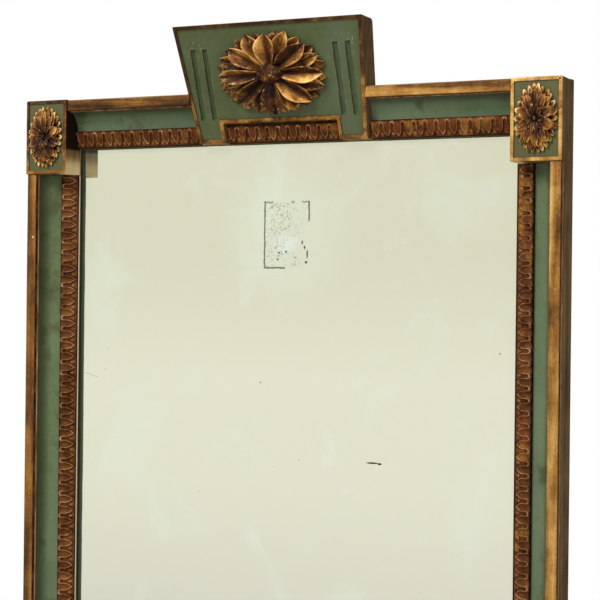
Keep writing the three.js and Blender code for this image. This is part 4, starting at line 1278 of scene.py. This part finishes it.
# %% Saw out the crest's board
NOTCH_HALF, NOTCH_Z = 107 * MM, TOP_Z - 52.2 * MM
CREST_THICK, CREST_BACK_ROUND = 47 * MM, 6 * MM
right_half = [
    (NOTCH_HALF, NOTCH_Z), (NOTCH_HALF, CREST_FOOT_Z), (CREST_FOOT_HALF, CREST_FOOT_Z), (CREST_TOP_HALF, CREST_TOP_Z)
]
outline = [(-x, z) for x, z in reversed(right_half)] + right_half
bm = bmesh.new()
board_face = bm.faces.new([bm.verts.new((x, crest_y(z), z)) for x, z in outline])
grown = bmesh.ops.extrude_face_region(bm, geom=[board_face])["geom"]
bmesh.ops.translate(bm, vec=(0, CREST_THICK, 0), verts=points_in(grown))
saw(bm, (0, FACE_Y - MOULDING_BACK, 0), (0, 1, 0), clear_outer=True)
bmesh.ops.recalc_face_normals(bm, faces=bm.faces)
colour_faces(bm.faces, SIDES)
back_top = [e for e in bm.edges if all(v.co.z > CREST_TOP_Z - HAIR and v.co.y > FACE_Y - 10 * MM for v in e.verts)]
ease(bm, back_top, CREST_BACK_ROUND, segments=4)
ease(bm, sharp_edges(bm), ARRIS, segments=3)
bmesh.ops.recalc_face_normals(bm, faces=bm.faces)
front = face_towards(bm, OUT_OF_CREST)
colour_faces([face for face in bm.faces if face.normal.dot(OUT_OF_CREST) > 0.35], BORDER)
sink_field(bm, front, 5.0)
print("the crest's board has", len(bm.faces), "faces before it is fluted")

# %% Cut the flutes and finish the crest
FLUTE, RUBBED = 4, 5
FLUTE_HALF = 5.6 * MM
FLUTE_MIDDLES = [sign * offset * MM for sign in (-1, 1) for offset in (121.5, 144)]
FLUTE_LOW, FLUTE_HIGH = TOP_Z - 46.5 * MM, TOP_Z + 71 * MM
planes = [((x + side * FLUTE_HALF, 0, 0), (1, 0, 0)) for x in FLUTE_MIDDLES for side in (-1, 1)]
planes += [((0, 0, z), (0, 0, 1)) for z in (FLUTE_LOW, FLUTE_HIGH)]
field = [front]
for place, normal in planes:
    parts = set(field)
    for face in field:
        parts.update(face.edges)
        parts.update(face.verts)
    bmesh.ops.bisect_plane(bm, geom=list(parts), dist=1e-7, plane_co=place, plane_no=normal)
    field = [f for f in bm.faces if f.material_index == FIELD]
flutes = []
for face in field:
    middle = face.calc_center_median()
    if FLUTE_LOW < middle.z < FLUTE_HIGH and any(abs(middle.x - x) < FLUTE_HALF for x in FLUTE_MIDDLES):
        flutes.append(face)
for border, depth, slot in ((0.6, 0, RUBBED), (0.5, -2.2, RECESS), (1.4, -1.2, FLUTE), (1.8, -0.5, FLUTE)):
    colour_faces(inset(bm, flutes, border, depth), slot)
colour_faces(flutes, FLUTE)
finished(
    bm, "painted_crest_board", [green_crest, crest_gilt, crest_sides, recess_grime_and_shade, flute_green_dusty_and_shaded, rubbed_green],
    ["crest_board"], sharp=10,
)
print(len(flutes), "flutes are cut in the crest")

# %% [markdown]
# ## The plate
#
# The silver lies behind four millimetres of old glass, and glass bends light, so the silver seems to lie about
# two thirds of the way back. The plate here is opaque and its face lies at that depth, so that the frame's edge and
# the block's bare side are reflected from the right distance.

# %% Build the plate
SEEN_SHARE = 0.65
lower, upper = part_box("mirror_plate")
seen_depth = lower.y + (upper.y - lower.y) * SEEN_SHARE
bm = box_bmesh((lower.x, seen_depth, lower.z), upper)
ease(bm, bm.edges[:], 0.4 * MM)
finished(bm, "silvered_plate", [silvering], ["mirror_plate"], sharp=10)
print("the plate's face lies", round((seen_depth - FACE_Y) * 1000, 1), "mm behind the fillet's face")

# %% [markdown]
# ## The back
#
# The stiles, rails, boards, brads and screws keep their measured shapes and take their finishes. The two rings
# are rebuilt with smooth round wire: a circle is spun round the ring's centre.

# %% Dress the measured pieces and spin the rings
dressed = {
    "stile": stile_finish, "rail": rail_finish, "backboard": pine, "brad": iron, "crest_screw": iron, "hanger": iron
}
for name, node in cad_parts.items():
    for start, material in dressed.items():
        if name.startswith(start):
            node.data.materials.clear()
            node.data.materials.append(material)
for hand in ("left", "right"):
    centre, size = middle_and_size(f"ring_{hand}")
    wire = size.y / 2
    bm = bmesh.new()
    circle = bmesh.ops.create_circle(bm, segments=14, radius=wire)["verts"]
    for axis in ("X", "Z"):
        bmesh.ops.rotate(bm, verts=circle, cent=(0, 0, 0), matrix=Matrix.Rotation(math.pi / 2, 3, axis))
    bmesh.ops.translate(bm, vec=(0, 0, size.x / 2 - wire), verts=circle)
    bmesh.ops.spin(
        bm, geom=bm.edges[:], cent=(0, 0, 0), axis=(0, 1, 0), dvec=(0, 0, 0), angle=2 * math.pi, steps=48,
        use_merge=True,
    )
    bmesh.ops.remove_doubles(bm, verts=bm.verts, dist=HAIR)
    bmesh.ops.translate(bm, vec=centre, verts=bm.verts)
    finished(bm, f"iron_ring_{hand}", [iron], [f"ring_{hand}"], body=f"{hand}_ring")
print("dressed", len(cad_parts), "measured pieces")

# %% [markdown]
# ## Floor and light
#
# The frame stands on a plain pale floor. One large soft lamp hangs in front, a little to the left and above, and
# weaker ones fill from the right and light the back. The world is white to the camera and to reflections, because
# that is what the mirror gives back, and a plain dim light to everything else.

# %% Lay the floor
bm = bmesh.new()
bmesh.ops.create_grid(bm, x_segments=1, y_segments=1, size=3)
floor_mesh = bpy.data.meshes.new("floor")
bm.to_mesh(floor_mesh)
bm.free()
floor_mesh.transform(Matrix.Translation((0, 0, FOOT_Z)))
floor = bpy.data.objects.new("floor", floor_mesh)
bpy.context.collection.objects.link(floor)
plaster = Finish("pale_floor", roughness=0.8)
plaster.colour(plaster.tones(plaster.cloud(3), (0.3, 226, 224, 220), (0.7, 232, 230, 226)))
floor_mesh.materials.append(plaster.material)
print("the floor lies at", round(FOOT_Z, 3))

# %% Hang the lamps
LIT_MIDDLE = Vector((0, 0, -0.6))
LAMPS = {
    "front_lamp": ((-1.2, -3.5, 2.7), 2.0, 180),
    "right_lamp": ((3.6, -2.6, 0.6), 2.0, 32),
    "back_lamp": ((0.8, 4.0, 1.5), 2.4, 120),
}
for name, (place, size, watts) in LAMPS.items():
    data = bpy.data.lights.new(name, "AREA")
    data.shape = "SQUARE"
    data.size = size
    data.energy = watts
    lamp = bpy.data.objects.new(name, data)
    bpy.context.collection.objects.link(lamp)
    lamp.location = place
    lamp.rotation_euler = (LIT_MIDDLE - Vector(place)).to_track_quat("-Z", "Y").to_euler()

# %% Light the world
world = bpy.data.worlds.new("studio")
bpy.context.scene.world = world
world.use_nodes = True
nodes, links = world.node_tree.nodes, world.node_tree.links
kinds_of_ray = nodes.new("ShaderNodeLightPath").outputs
seen = kinds_of_ray["Is Camera Ray"]
for ray in ("Is Glossy Ray", "Is Transmission Ray"):
    either = nodes.new("ShaderNodeMath")
    either.operation = "MAXIMUM"
    links.new(seen, either.inputs[0])
    links.new(kinds_of_ray[ray], either.inputs[1])
    seen = either.outputs[0]
strength = nodes.new("ShaderNodeMapRange")
strength.inputs["To Min"].default_value = 0.34
strength.inputs["To Max"].default_value = 1.0
links.new(seen, strength.inputs["Value"])
background = nodes["Background"]
background.inputs["Color"].default_value = (1, 1, 1, 1)
links.new(strength.outputs[0], background.inputs["Strength"])
bpy.context.scene.view_settings.view_transform = "Standard"
print("the world has", len(nodes), "nodes")

# %% [markdown]
# ## The size
#
# The finished mirror must fill the same box as the measured one.
